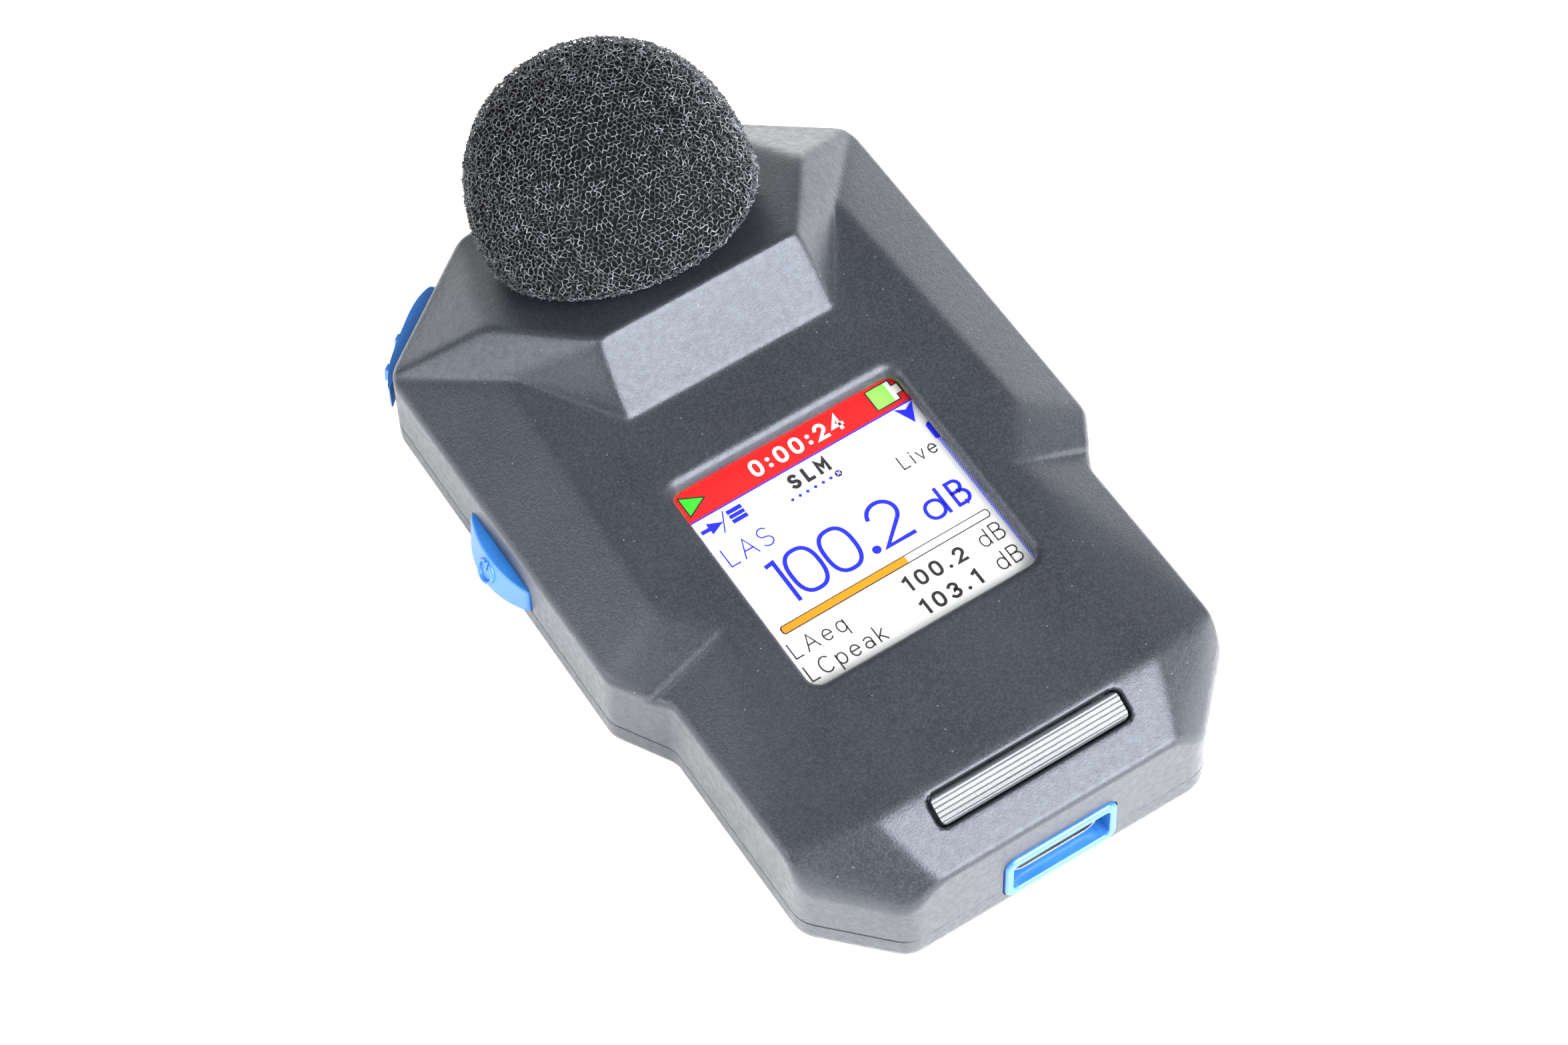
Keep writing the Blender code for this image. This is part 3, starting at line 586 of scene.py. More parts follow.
def foam():
    """Open-cell acoustic foam: pale strands, with the pores between them darkened as painted shade inside the holes."""
    k = Nodes("windscreen_foam")
    vec = k.coord()
    warp = k.n("ShaderNodeTexNoise")
    warp.inputs["Scale"].default_value = 900
    warp.inputs["Detail"].default_value = 2.0
    k.link(vec, warp.inputs["Vector"])
    bent = k.n("ShaderNodeMix", data_type="VECTOR")
    bent.inputs[0].default_value = 0.0003
    va, vb = [s for s in bent.inputs if s.type == "VECTOR"][:2]
    k.link(vec, va)
    k.link(warp.outputs["Color"], vb)
    v2 = [s for s in bent.outputs if s.type == "VECTOR"][0]
    cell = k.voronoi(1700, "DISTANCE_TO_EDGE", "Distance", v2)
    strand_mask_pore_shade = k.grey(cell, 1.0, 0.0, 0.03, 0.28)
    fine = k.noise(4200, 3.0, 0.6)
    big = k.noise(240, 3.0, 0.55)
    h = k.math("ADD", k.math("MULTIPLY", strand_mask_pore_shade, 0.7), k.math("MULTIPLY", fine, 0.5))
    # painted shade: the colour falls to near black in the middle of each cell, where the pores sit in shade; the
    # strands keep the foam's own charcoal
    col = k.ramp(k.math("MULTIPLY", h, k.grey(big, 0.8, 1.1, 0.3, 0.7)), [(0.18, (0.002, 0.0022, 0.0026)), (0.5, (0.005, 0.0055, 0.0065)), (0.78, (0.012, 0.013, 0.015)), (1.0, (0.03, 0.032, 0.036))])
    k.set(Base_Color=col, Roughness=k.grey(fine, 0.8, 0.95), Normal=k.bump(h, 0.00022, 0.9), Specular_IOR_Level=0.12)
    return k.m


M_FOAM = foam()


def strand():
    """Cut strands of the foam: charcoal, with pale patches painted in as highlights where strands catch the light."""
    k = Nodes("foam_strand")
    f = k.noise(1300, 3.0, 0.6)
    big = k.noise(200, 2.0, 0.5)
    # painted highlight: the pale end of this ramp stands in for light caught on the strands; the dark end is their own
    # charcoal
    col = k.ramp(f, [(0.36, (0.014, 0.015, 0.018)), (0.52, (0.05, 0.054, 0.062)), (0.66, (0.15, 0.16, 0.18))])
    col = k.mix(k.grey(big, 0.0, 0.35, 0.4, 0.7), col, (0.03, 0.032, 0.036))
    k.set(Base_Color=col, Roughness=k.grey(f, 0.35, 0.55), Specular_IOR_Level=0.5)
    return k.m


M_STRAND = strand()


# ================================================================ front shell: rounded faceted form from its planes
def planes_of(points, keep):
    bm = bmesh.new()
    for p in points:
        bm.verts.new(p)
    bmesh.ops.convex_hull(bm, input=bm.verts)
    centre = Vector((0, 0, 0))
    for p in points:
        centre += Vector(p) / len(points)
    out = []
    for f in bm.faces:
        f.normal_update()
        n = f.normal.copy()
        if n.length < 0.5:
            continue
        p0 = f.verts[0].co
        if n.dot(p0 - centre) < 0:
            n.negate()
        if not keep(n):
            continue
        row = (n.x, n.y, n.z, n.dot(p0))
        if all(abs(row[0] - o[0]) + abs(row[1] - o[1]) + abs(row[2] - o[2]) > 0.01 or abs(row[3] - o[3]) > 0.05 for o in out):
            out.append(row)
    bm.free()
    return np.array(out, np.float32)


UP = planes_of(both([
    (21.6, 26.6, 0), (26.0, 34.0, 0), (26.0, 69.0, 0), (24.5, 69.3, 0), (11.6, 78.5, 0),
    (21.2, 26.3, 11.9), (24.7, 32.1, 11.4), (24.4, 69.3, 10.6), (11.6, 78.5, 10.87),
    (15.2, 28.5, Z_TOP), (18.6, 33.5, Z_TOP), (17.0, 60.0, Z_TOP), (11.0, 66.0, Z_TOP),
]), lambda n: (0.2 < n.z < 0.9995) and n.x > -1e-4)
UP = np.vstack([UP, np.array([[0, -1, 0, -28.5]], np.float32)])
LOW = planes_of(both([
    (21.6, 28.0, 0), (21.6, 6.9, 0), (14.9, 0.0, 0), (15.0, 32.0, 0),
    (21.6, 28.0, 11.75), (21.6, 8.6, 12.7), (21.5, 6.9, 10.2), (14.8, 0.0, 9.9), (12.1, 0.0, 12.35),
    (14.1, 6.4, Z_TOP), (15.2, 28.5, Z_TOP), (15.2, 32.0, Z_TOP - 0.4),
]), lambda n: 0.2 < n.z < 0.9995 and n.y < 0.1 and n.x > -1e-4)
LOW = np.vstack([LOW, np.array([[0, 1, 0, 45.0]], np.float32)])
PLAT = planes_of(both([
    (10.3, RIDGE_Y, RIDGE_Z), (10.8, 50.8, Z_TOP), (17.0, 60.0, Z_TOP), (16.4, 65.0, plateau(65.0)),
    (24.4, 69.3, 10.6), (11.6, 78.5, plateau(78.5)),
    (10.8, 50.8, 6), (20.0, 60.0, 6), (24.4, 69.3, 6), (11.6, 78.5, 6),
]), lambda n: n.z > 0.2 and n.x > -1e-4)
print("planes", len(UP), len(LOW), len(PLAT))


def lse(vals, k):
    m = vals[0]
    for v in vals[1:]:
        m = np.maximum(m, v)
    s = 0
    for v in vals:
        s = s + np.exp(np.maximum((v - m) / k, -40))
    return m + k * np.log(s)


def smax(a, b, k):
    return lse([a, b], k)


def smin(a, b, k):
    return -lse([-a, -b], k)


def cmax(a, b, r):
    """Intersection with a round fillet of radius r."""
    u, v = np.maximum(a + r, 0), np.maximum(b + r, 0)
    return np.minimum(-r, np.maximum(a, b)) + np.hypot(u, v)


def box2d(x, y, hx, hy, r):
    qx, qy = np.abs(x) - hx + r, np.abs(y) - hy + r
    return np.minimum(np.maximum(qx, qy), 0) + np.hypot(np.maximum(qx, 0), np.maximum(qy, 0)) - r


ARCS = arcs(full_plan())


def outline_sdf(x, y):
    best = np.full(x.shape, 1e9, np.float32)
    sd = np.full(x.shape, 1e9, np.float32)
    n = len(ARCS)
    for i in range(n):
        s, e = ARCS[i][3], ARCS[(i + 1) % n][2]
        d = e - s
        L2 = d.dot(d)
        t = np.clip(((x - s.x) * d.x + (y - s.y) * d.y) / L2, 0, 1)
        wx, wy = x - s.x - t * d.x, y - s.y - t * d.y
        dist = np.hypot(wx, wy)
        side = np.sign((x - s.x) * d.y - (y - s.y) * d.x)
        upd = dist < best
        best = np.where(upd, dist, best)
        sd = np.where(upd, dist * side, sd)
        c, r, s, e, convex = ARCS[i]
        mid = ((s - c) + (e - c)).normalized()
        cosh = (s - c).normalized().dot(mid)
        vx, vy = x - c.x, y - c.y
        l = np.maximum(np.hypot(vx, vy), 1e-9)
        dist = np.abs(l - r)
        upd = ((vx * mid.x + vy * mid.y) / l >= cosh) & (dist < best)
        best = np.where(upd, dist, best)
        sd = np.where(upd, (l - r) * (1 if convex else -1), sd)
    return sd


LI = np.array(LENS.inverted())[:3]
K1 = 0.17


def hull_f(rows, ax, y, z, k):
    return lse([r[0] * ax + r[1] * y + r[2] * z - r[3] for r in rows], k)


def front_sdf(x, y, z, out2d=None):
    ax = np.abs(x)
    f = smin(hull_f(UP, ax, y, z, K1), hull_f(LOW, ax, y, z, K1), 0.16)
    f = smax(z - Z_TOP, f, K1)
    f = smin(f, hull_f(PLAT, ax, y, z, K1), 0.14)
    o = outline_sdf(x, y) if out2d is None else out2d
    f = cmax(f, o, 0.45)
    s = box2d(x, y - SCREEN_Y, 11.5, 11.5, 1.2)
    f = cmax(f, -np.maximum(s, 12.6 - z), 1.05)
    lx = LI[0][0] * x + LI[0][1] * y + LI[0][2] * z + LI[0][3]
    ly = LI[1][0] * x + LI[1][1] * y + LI[1][2] * z + LI[1][3]
    lz = LI[2][0] * x + LI[2][1] * y + LI[2][2] * z + LI[2][3]
    s = box2d(lx, ly, 9.75, 1.5, 0.75)
    return cmax(f, -np.maximum(s, -2.6 - lz), 0.3)


def surface_nets(F, lo, h):
    nx, ny, nz = F.shape
    cs = (nx - 1, ny - 1, nz - 1)
    tot = cs[0] * cs[1] * cs[2]
    acc, cnt, quads = np.zeros((tot, 3)), np.zeros(tot), []
    for a in range(3):
        A = np.take(F, np.arange(F.shape[a] - 1), a)
        B = np.take(F, np.arange(1, F.shape[a]), a)
        cross = (A < 0) != (B < 0)
        idx = np.argwhere(cross)
        fa, fb = A[cross], B[cross]
        p = idx.astype(float)
        p[:, a] += fa / (fa - fb)
        o1, o2 = (a + 1) % 3, (a + 2) % 3
        flat, ok = [], np.ones(len(idx), bool)
        for d1, d2 in ((0, 0), (1, 0), (1, 1), (0, 1)):
            c = idx.copy()
            c[:, o1] -= d1
            c[:, o2] -= d2
            good = (c >= 0).all(1) & (c[:, 0] < cs[0]) & (c[:, 1] < cs[1]) & (c[:, 2] < cs[2])
            ok &= good
            c = np.clip(c, 0, np.array(cs) - 1)
            fl = (c[:, 0] * cs[1] + c[:, 1]) * cs[2] + c[:, 2]
            flat.append(fl)
            for j in range(3):
                acc[:, j] += np.bincount(fl[good], p[good, j], tot)
            cnt += np.bincount(fl[good], minlength=tot)
        q = np.stack(flat, 1)
        flip = fa >= 0
        q[flip] = q[flip][:, ::-1]
        quads.append(q[ok])
    q = np.vstack(quads)
    used, inv = np.unique(q, return_inverse=True)
    v = acc[used] / cnt[used][:, None] * h + np.array(lo)
    return v, inv.reshape(q.shape)


def gradient(fn, v, e=0.02):
    g = np.zeros_like(v)
    for a in range(3):
        d = np.zeros(3)
        d[a] = e
        hi, lo = v + d, v - d
        g[:, a] = (fn(hi[:, 0], hi[:, 1], hi[:, 2]) - fn(lo[:, 0], lo[:, 1], lo[:, 2])) / (2 * e)
    return g


def fit(fn, v, h, rounds=3):
    for _ in range(rounds):
        f = fn(v[:, 0], v[:, 1], v[:, 2])
        g = gradient(fn, v)
        g2 = np.maximum((g ** 2).sum(1), 0.15)
        step = g * (f / g2)[:, None]
        L = np.linalg.norm(step, axis=1, keepdims=True)
        v = v - step * np.minimum(1, 0.5 * h / np.maximum(L, 1e-9))
    return v


H = 0.34
gx = np.arange(-75, 76) * H
gy = np.arange(-0.9, 79.6, H)
gz = np.arange(3.1, 22.8, H)
X, Y = np.meshgrid(gx, gy, indexing="ij")
O2 = outline_sdf(X.astype(np.float32), Y.astype(np.float32))
F = np.empty((len(gx), len(gy), len(gz)), np.float32)
for _k, _z in enumerate(gz):
    F[:, :, _k] = front_sdf(X.astype(np.float32), Y.astype(np.float32), np.full(X.shape, _z, np.float32), O2)
v, q = surface_nets(F, (gx[0], gy[0], gz[0]), H)
v = fit(front_sdf, v, H)
print("front skin", len(v), len(q))
me = bpy.data.meshes.new("front")
me.from_pydata((v * MM).tolist(), [], q.tolist())
bm = bmesh.new()
bm.from_mesh(me)
zc = (Z_PART + 0.08) * MM
r = bmesh.ops.bisect_plane(bm, geom=bm.verts[:] + bm.edges[:] + bm.faces[:], dist=1e-8, plane_co=(0, 0, zc), plane_no=(0, 0, -1), clear_outer=True)
edges = [e for e in bm.edges if len(e.link_faces) == 1]
bmesh.ops.remove_doubles(bm, verts=list({x for e in edges for x in e.verts}), dist=1e-6)
edges = [e for e in bm.edges if len(e.link_faces) == 1]
bmesh.ops.triangle_fill(bm, edges=edges, use_beauty=True)
bmesh.ops.recalc_face_normals(bm, faces=bm.faces)
print("open edges", len([e for e in bm.edges if len(e.link_faces) != 2]))
bm.to_mesh(me)
bm.free()
front = new_obj(me, "front")

# what is cut out of it
in_upper = hull(both([
    (19.6, 28.6, 0), (22.7, 33.2, 0), (22.4, 68.4, 0), (11.0, 76.7, 0),
    (19.3, 28.6, 10.7), (22.5, 33.2, 9.9), (22.2, 68.4, 9.2), (11.0, 76.7, 9.0),
    (14.6, 30.3, Z_TOP - 2), (17.6, 34.5, Z_TOP - 2), (16.0, 60.0, Z_TOP - 2), (11.0, 64.0, Z_TOP - 2.2),
]))
in_lower = hull(both([
    (19.7, 31.5, 0), (19.7, 8.0, 0), (14.2, 1.9, 0),
    (19.7, 31.5, 10.5), (19.7, 9.0, 10.9), (19.6, 8.0, 9.0), (14.1, 1.9, 8.6), (11.6, 1.9, 11.0),
    (13.9, 7.4, Z_TOP - 2), (14.4, 31.5, Z_TOP - 2),
]))
in_platform = hull(both([
    (8.9, 57.7, plateau(57.7, 2.3)), (9.4, 52.8, Z_TOP - 2), (15.4, 60.8, Z_TOP - 2.2), (14.6, 65.0, plateau(65.0, 2.4)),
    (22.0, 68.4, 9.0), (10.8, 76.7, plateau(76.7, 2.4)),
    (9.4, 52.8, 0), (16.0, 60.8, 0), (22.0, 68.4, 0), (10.8, 76.7, 0),
]))
cavity = join(in_upper, in_lower, in_platform, prism(outline(WALL + 0.05, 6), -1, Z_PART + 2.2))
BOSSES = [(s * x, y) for s in (1, -1) for x, y in ((17.4, 10.2), (19.4, 59.6))]
for bx, by in BOSSES:
    top = 16.0
    tube = revolve([(1.75, Z_PART + 0.35), (2.3, Z_PART + 0.35), (2.3, top), (1.75, top)], 32, frame=Matrix.Translation((bx, by, 0)))
    cut(cavity, tube)


def arc_face(half, bulge, seg=8):
    r = (half * half + bulge * bulge) / (2 * bulge)
    a = math.asin(half / r)
    return [(r * math.sin(t), r * math.cos(t) - (r - bulge)) for t in [-a + 2 * a * k / seg for k in range(seg + 1)]]


def usb_out(g, z0, z1, seg=12):
    return rounded_box(-5.7 - g, 5.7 + g, -3.0 - g, 3.0 + g, z0, z1, 1.15 + g, frame=USB, seg=seg)


# frame whose local x runs along the wall, y up, z out of the wall
PWR_F = Matrix(((0, 0, -1, PW_X), (1, 0, 0, PWR_Y), (0, 1, 0, 0), (0, 0, 0, 1)))
join(cavity, rounded_box(-13.4, 13.4, SCREEN_Y - 13.4, SCREEN_Y + 13.4, 12, Z_PANE + 0.06, 1.5, seg=6))
join(cavity, revolve([(0, -7), (6.2, -7), (6.2, 4), (0, 4)], 72, frame=MIC))
join(cavity, usb_out(0.12, -4.6, 4), box(-8.2, 8.2, 1.95, 4.6, USB_Z - 3.9, USB_Z + 3.9))
_h = PWR_L / 2 + 0.2
join(cavity, rounded_box(-_h, _h, PWR_Z - PWR_H / 2 - 0.2, PWR_Z + PWR_H / 2 + 0.2, -4.83, 4, 0.5, frame=PWR_F))
SH = {"left": shoulder_frame(-1), "right": shoulder_frame(1)}
for side, fr in SH.items():
    f = fr @ Matrix.Translation((SH_U, 0, 0))
    h = SH_L / 2
    join(cavity, prism([(-h - 0.2, -4.83), (h + 0.2, -4.83), (h + 0.2, 4), (-h - 0.2, 4)], SH_Z - SH_H / 2 - 0.2, SH_Z + SH_H / 2 + 0.2, frame=f))
cut(front, cavity)
print("front cut", len(front.data.vertices), len(front.data.polygons))

bm = bmesh.new()
bm.from_mesh(front.data)
bmesh.ops.remove_doubles(bm, verts=bm.verts, dist=1e-6)
print("front open", len([e for e in bm.edges if len(e.link_faces) != 2]))
bm.to_mesh(front.data)
bm.free()


def skin_normals(obj, fn, limit=38.0):
    """Takes the true surface normal of the rounded form on the faces that lie on it, and the mesh's own elsewhere."""
    me = obj.data
    me.polygons.foreach_set("use_smooth", np.ones(len(me.polygons), bool))
    me.set_sharp_from_angle(angle=math.radians(limit))
    nv, nl = len(me.vertices), len(me.loops)
    co = np.empty(nv * 3)
    me.vertices.foreach_get("co", co)
    co = co.reshape(-1, 3) / MM
    val = fn(co[:, 0], co[:, 1], co[:, 2])
    g = gradient(fn, co)
    g /= np.maximum(np.linalg.norm(g, axis=1, keepdims=True), 1e-9)
    lv = np.empty(nl, np.int32)
    me.loops.foreach_get("vertex_index", lv)
    cn = np.empty(nl * 3, np.float32)
    me.corner_normals.foreach_get("vector", cn)
    cn = cn.reshape(-1, 3).astype(float)
    fn_ = np.empty(len(me.polygons) * 3, np.float32)
    me.polygons.foreach_get("normal", fn_)
    fn_ = fn_.reshape(-1, 3)
    tot = np.empty(len(me.polygons), np.int32)
    me.polygons.foreach_get("loop_total", tot)
    face = np.repeat(np.arange(len(tot)), tot)
    on = (np.abs(val[lv]) < 0.05) & ((fn_[face] * g[lv]).sum(1) > math.cos(math.radians(limit)))
    cn[on] = g[lv][on]
    me.normals_split_custom_set(cn.tolist())


skin_normals(front, front_sdf)
place(front, "front_shell_skin", "case", M_CASE, "front_shell", smooth=False)

# ================================================================ rear shell
FIL = 2.2
rings = [(0.0, Z_PART - 0.16), (0.0, 3.2), (0.0, FIL)]
rings = [(0.07, Z_PART - 0.08)] + rings
for k in range(1, 11):
    a = math.pi / 2 * k / 10
    rings.append((FIL * (1 - math.cos(a)), FIL * (1 - math.sin(a))))
loops = [outline(d, 14) for d, _ in rings]
n = len(loops[0])
verts = [(x, y, z) for (d, z), lp in zip(rings, loops) for x, y in lp]
faces = [tuple(range(n)), tuple(range((len(rings) - 1) * n, len(rings) * n))[::-1]]
for i in range(len(rings) - 1):
    faces += [(i * n + k, (i + 1) * n + k, (i + 1) * n + (k + 1) % n, i * n + (k + 1) % n) for k in range(n)]
rear = from_data(verts, faces)
cut(rear, prism(outline(2.6, 6), 2.0, 12))
lip = prism(outline(2.15, 8), 2.1, Z_PART + 1.6)
cut(lip, prism(outline(3.1, 8), 0, 12))
join(rear, lip)
cutters = None
for bx, by in BOSSES:
    f = Matrix.Translation((bx, by, 0))
    c = revolve([(0, -1), (2.35, -1), (2.35, -0.01), (2.05, 0.28), (2.0, 1.0), (1.2, 1.8), (1.2, 4), (0, 4)], 40, frame=f)
    c2 = revolve([(0, 3.0), (2.7, 3.0), (2.7, 12), (0, 12)], 32, frame=f)
    cut(rear, c, c2)
cut(rear, usb_out(0.12, -4.6, 4), box(-8.2, 8.2, 1.95, 4.6, 2.0, USB_Z + 3.9))
cut(rear, prism([(-6.4, -5.2), (6.4, -5.2), (6.4, -1.2), (-6.4, -1.2)], Z_PART - 0.1, 12, frame=PWR))
for side, fr in SH.items():
    f = fr @ Matrix.Translation((SH_U, 0, 0))
    cut(rear, prism([(-5.2, -5.2), (5.2, -5.2), (5.2, -1.2), (-5.2, -1.2)], Z_PART - 0.1, 12, frame=f))
place(rear, "rear_shell_skin", "case", M_REAR, "rear_shell", angle=30)

# ================================================================ charging socket
sur = usb_out(0, -2.2, 0.35, 14)
bevel(sur, 0.32, 4, 60.0, lambda e: max(p.co.y for p in e.verts) < -0.3 * MM)
join(sur, rounded_box(-7.4, 7.4, -3.0, 3.4, -4.2, -2.3, 0.8, frame=USB), box(-4.9, 4.9, -2.6, 2.6, -3.0, -2.0, frame=USB))
cut(sur, rounded_box(-4.9, 4.9, -2.0, 2.0, -5, 2, 0.6, frame=USB, seg=12))
bevel(sur, 0.18, 3, 60.0, lambda e: max(p.co.y for p in e.verts) < -0.30 * MM)
place(sur, "usb_surround_trim", "case", M_BLUE2, "usb_surround", angle=40)

shell = rounded_box(-4.47, 4.47, -1.63, 1.63, -8.8, -0.8, 1.6, frame=USB, seg=14)
cut(shell, rounded_box(-4.17, 4.17, -1.33, 1.33, -8.4, 0, 1.3, frame=USB, seg=14))
bevel(shell, 0.06, 2, 60.0)
place(shell, "usb_socket_shell_drawn", "case", M_STEEL, "usb_socket_shell", angle=40)
tongue = box(-3.3, 3.3, -0.35, 0.35, -8.0, -1.9, frame=USB)
bevel(tongue, 0.12, 2, 60.0)
pads = [box(x - 0.13, x + 0.13, s * 0.355 - 0.03, s * 0.355 + 0.03, -7.0, -2.15, frame=USB) for s in (1, -1) for x in [-2.75 + 0.5 * i for i in range(12)]]
place(tongue, "usb_socket_tongue_moulded", "case", M_CHIP, "usb_socket_tongue", angle=40)


def merged(objs, name):
    bm = bmesh.new()
    for o in objs:
        bm.from_mesh(o.data)
        bpy.data.objects.remove(o, do_unlink=True)
    return from_bm(bm, name)


M_GOLD = simple("contact_gold", (0.8, 0.58, 0.22), (0.95, 0.72, 0.34), 2600, 0.2, 0.3, 1.0, 0.000004)
place(merged(pads, "pads"), "usb_contacts", "case", M_GOLD, None, smooth=False)

# ================================================================ buttons
PWR_IN = 2.15


def slant(obj, frame, zc, slope, start):
    """Leans the outer face: points further out than start stand less proud toward the top."""
    back = frame.inverted()
    for p in obj.data.vertices:
        u = back @ (p.co / MM)
        if u.y > start:
            u.y *= 1 - slope * (u.z - zc)
            p.co = (frame @ u) * MM


def power():
    h = PWR_L / 2
    face = [(x, y + 0.35) for x, y in arc_face(h, 1.3, 36)]
    plan = [(-h - 1.0, -PWR_IN - 0.7), (h + 1.0, -PWR_IN - 0.7), (h + 1.0, -PWR_IN), (h, -PWR_IN)]
    plan += [(x, y) for x, y in reversed(face)] + [(-h, -PWR_IN), (-h - 1.0, -PWR_IN)]
    body = prism(plan, PWR_Z - PWR_H / 2, PWR_Z + PWR_H / 2, frame=PWR)
    bevel(body, 0.42, 5, 40.0, lambda e: all((PWR.inverted() @ (p.co / MM)).y > -0.5 for p in e.verts))
    join(body, box(-1.2, 1.2, -PWR_IN - 1.2, -PWR_IN - 0.4, PWR_Z - 1.2, PWR_Z + 1.2, frame=PWR))
    r, sag = (h * h + 1.69) / 2.6, 1.3
    ys = lambda x: math.sqrt(r * r - x * x) - (r - sag) + 0.35
    rings = []
    for (R0, w, hh, a0, a1) in ((1.06, 0.17, 0.26, 0.3, 2 * math.pi - 0.3),):
        pts, seg = [], 40
        prof = [(-w, -0.3), (-w, hh * 0.5), (-w * 0.5, hh), (w * 0.5, hh), (w, hh * 0.5), (w, -0.3)]
        verts, faces = [], []
        for k in range(seg + 1):
            a = math.pi / 2 + a0 + (a1 - a0) * k / seg
            for dr, dh in prof:
                x, z = (R0 + dr) * math.cos(a), (R0 + dr) * math.sin(a)
                verts.append(tuple(PWR @ Vector((x, ys(x) + dh, PWR_Z + z))))
        m = len(prof)
        for k in range(seg):
            for j in range(m):
                faces.append((k * m + j, k * m + (j + 1) % m, (k + 1) * m + (j + 1) % m, (k + 1) * m + j))
        faces += [tuple(range(m))[::-1], tuple(range(seg * m, seg * m + m))]
        rings.append(from_data(verts, faces))
    bar = []
    for x0 in (0.0,):
        w = 0.12
        vv = [(sx * w, ys(0) + dy, PWR_Z + z) for dy in (-0.3, 0.24) for sx, z in ((-1, 0.15), (1, 0.15), (1, 1.24), (-1, 1.24))]
        vv = [tuple(PWR @ Vector(p)) for p in vv]
        b = from_data(vv, [(0, 1, 2, 3), (7, 6, 5, 4), (0, 4, 5, 1), (1, 5, 6, 2), (2, 6, 7, 3), (3, 7, 4, 0)])
        bevel(b, 0.04, 2, 40.0)
        bar.append(b)
    join(body, *rings, *bar)
    slant(body, PWR, PWR_Z, 0.164, 0.05)
    return body


place(power(), "power_button_cap", "power_button", M_BLUE, "power_button", angle=35)

SH_CAP_OUT = [(-4.3, 1.2), (-4.1, 1.75), (-2.8, 2.2), (-1.25, 2.33), (0.3, 2.25), (2.1, 2.12), (3.2, 1.97), (4.3, 1.8), (5.2, 1.55), (6.0, 1.25), (6.6, 0.95), (7.0, 0.72), (7.1, 0.55)]
SH_CAP_IN = [(6.95, 0.5), (6.2, 0.6)]
SH_BUMPS = {"left": (1.45, 4.7), "right": (3.0,)}


def spline(pts, sub=5):
    out = []
    P = [Vector(p) for p in pts]
    for i in range(len(P) - 1):
        p0, p1, p2, p3 = P[max(i - 1, 0)], P[i], P[i + 1], P[min(i + 2, len(P) - 1)]
        for k in range(sub):
            t = k / sub
            out.append(tuple(0.5 * ((2 * p1) + (p2 - p0) * t + (2 * p0 - 5 * p1 + 4 * p2 - p3) * t * t + (3 * p1 - p0 - 3 * p2 + p3) * t ** 3)))
    out.append(tuple(P[-1]))
    return out


for side, fr in SH.items():
    f = fr @ Matrix.Translation((SH_U, 0, 0))
    h = SH_L / 2
    plan = [(SH_U - h - 0.8, -PWR_IN - 0.7), (SH_U + h + 0.8, -PWR_IN - 0.7), (SH_U + h + 0.8, -PWR_IN), (SH_U + h, -PWR_IN), (SH_U + h, 0.6)]
    plan += SH_CAP_IN[::-1]
    plan += spline(SH_CAP_OUT[::-1], 4) + [(-4.3, 0.6), (SH_U - h, 0.6), (SH_U - h, -PWR_IN), (SH_U - h - 0.8, -PWR_IN)]
    body = prism(plan, SH_Z - SH_H / 2, SH_Z + SH_H / 2, frame=fr)
    bevel(body, 0.28, 4, 40.0, lambda e: all((fr.inverted() @ (p.co / MM)).y > 0.9 for p in e.verts))
    for bu in SH_BUMPS[side]:
        bv = float(np.interp(bu, [p[0] for p in SH_CAP_OUT], [p[1] for p in SH_CAP_OUT]))
        icon = box(bu - 0.42, bu + 0.42, bv - 0.5, bv + 0.38, SH_Z - 0.9, SH_Z + 0.95, frame=fr)
        bevel(icon, 0.16, 3, 60.0)
        join(body, icon)
    slant(body, fr, SH_Z, 0.0415, 0.9)
    join(body, box(-1.2, 1.2, -PWR_IN - 1.2, -PWR_IN - 0.4, SH_Z - 1.2, SH_Z + 1.2, frame=f))
    place(body, side + "_shoulder_cap", side + "_shoulder_button", M_BLUE, side + "_shoulder_button", angle=35)

# ================================================================ display
pane = rounded_box(-13.1, 13.1, SCREEN_Y - 13.1, SCREEN_Y + 13.1, 13.4, Z_PANE, 1.2, seg=8)
bevel(pane, 0.12, 2, 60.0)
place(pane, "display_window_pane", "case", M_GLASS, "display_window", angle=40)


def arc(cx, cy, rx, ry, a0, a1, n=12):
    return [(cx + rx * math.cos(math.radians(a0 + (a1 - a0) * k / n)), cy + ry * math.sin(math.radians(a0 + (a1 - a0) * k / n))) for k in range(n + 1)]


def superloop(cx, cy, rx, ry, p=2.5, n=36):
    out = []
    for k in range(n):
        a = 2 * math.pi * k / n
        c, s = math.cos(a), math.sin(a)
        out.append((cx + rx * math.copysign(abs(c) ** (2 / p), c), cy + ry * math.copysign(abs(s) ** (2 / p), s)))
    return out


DOT = "dot"
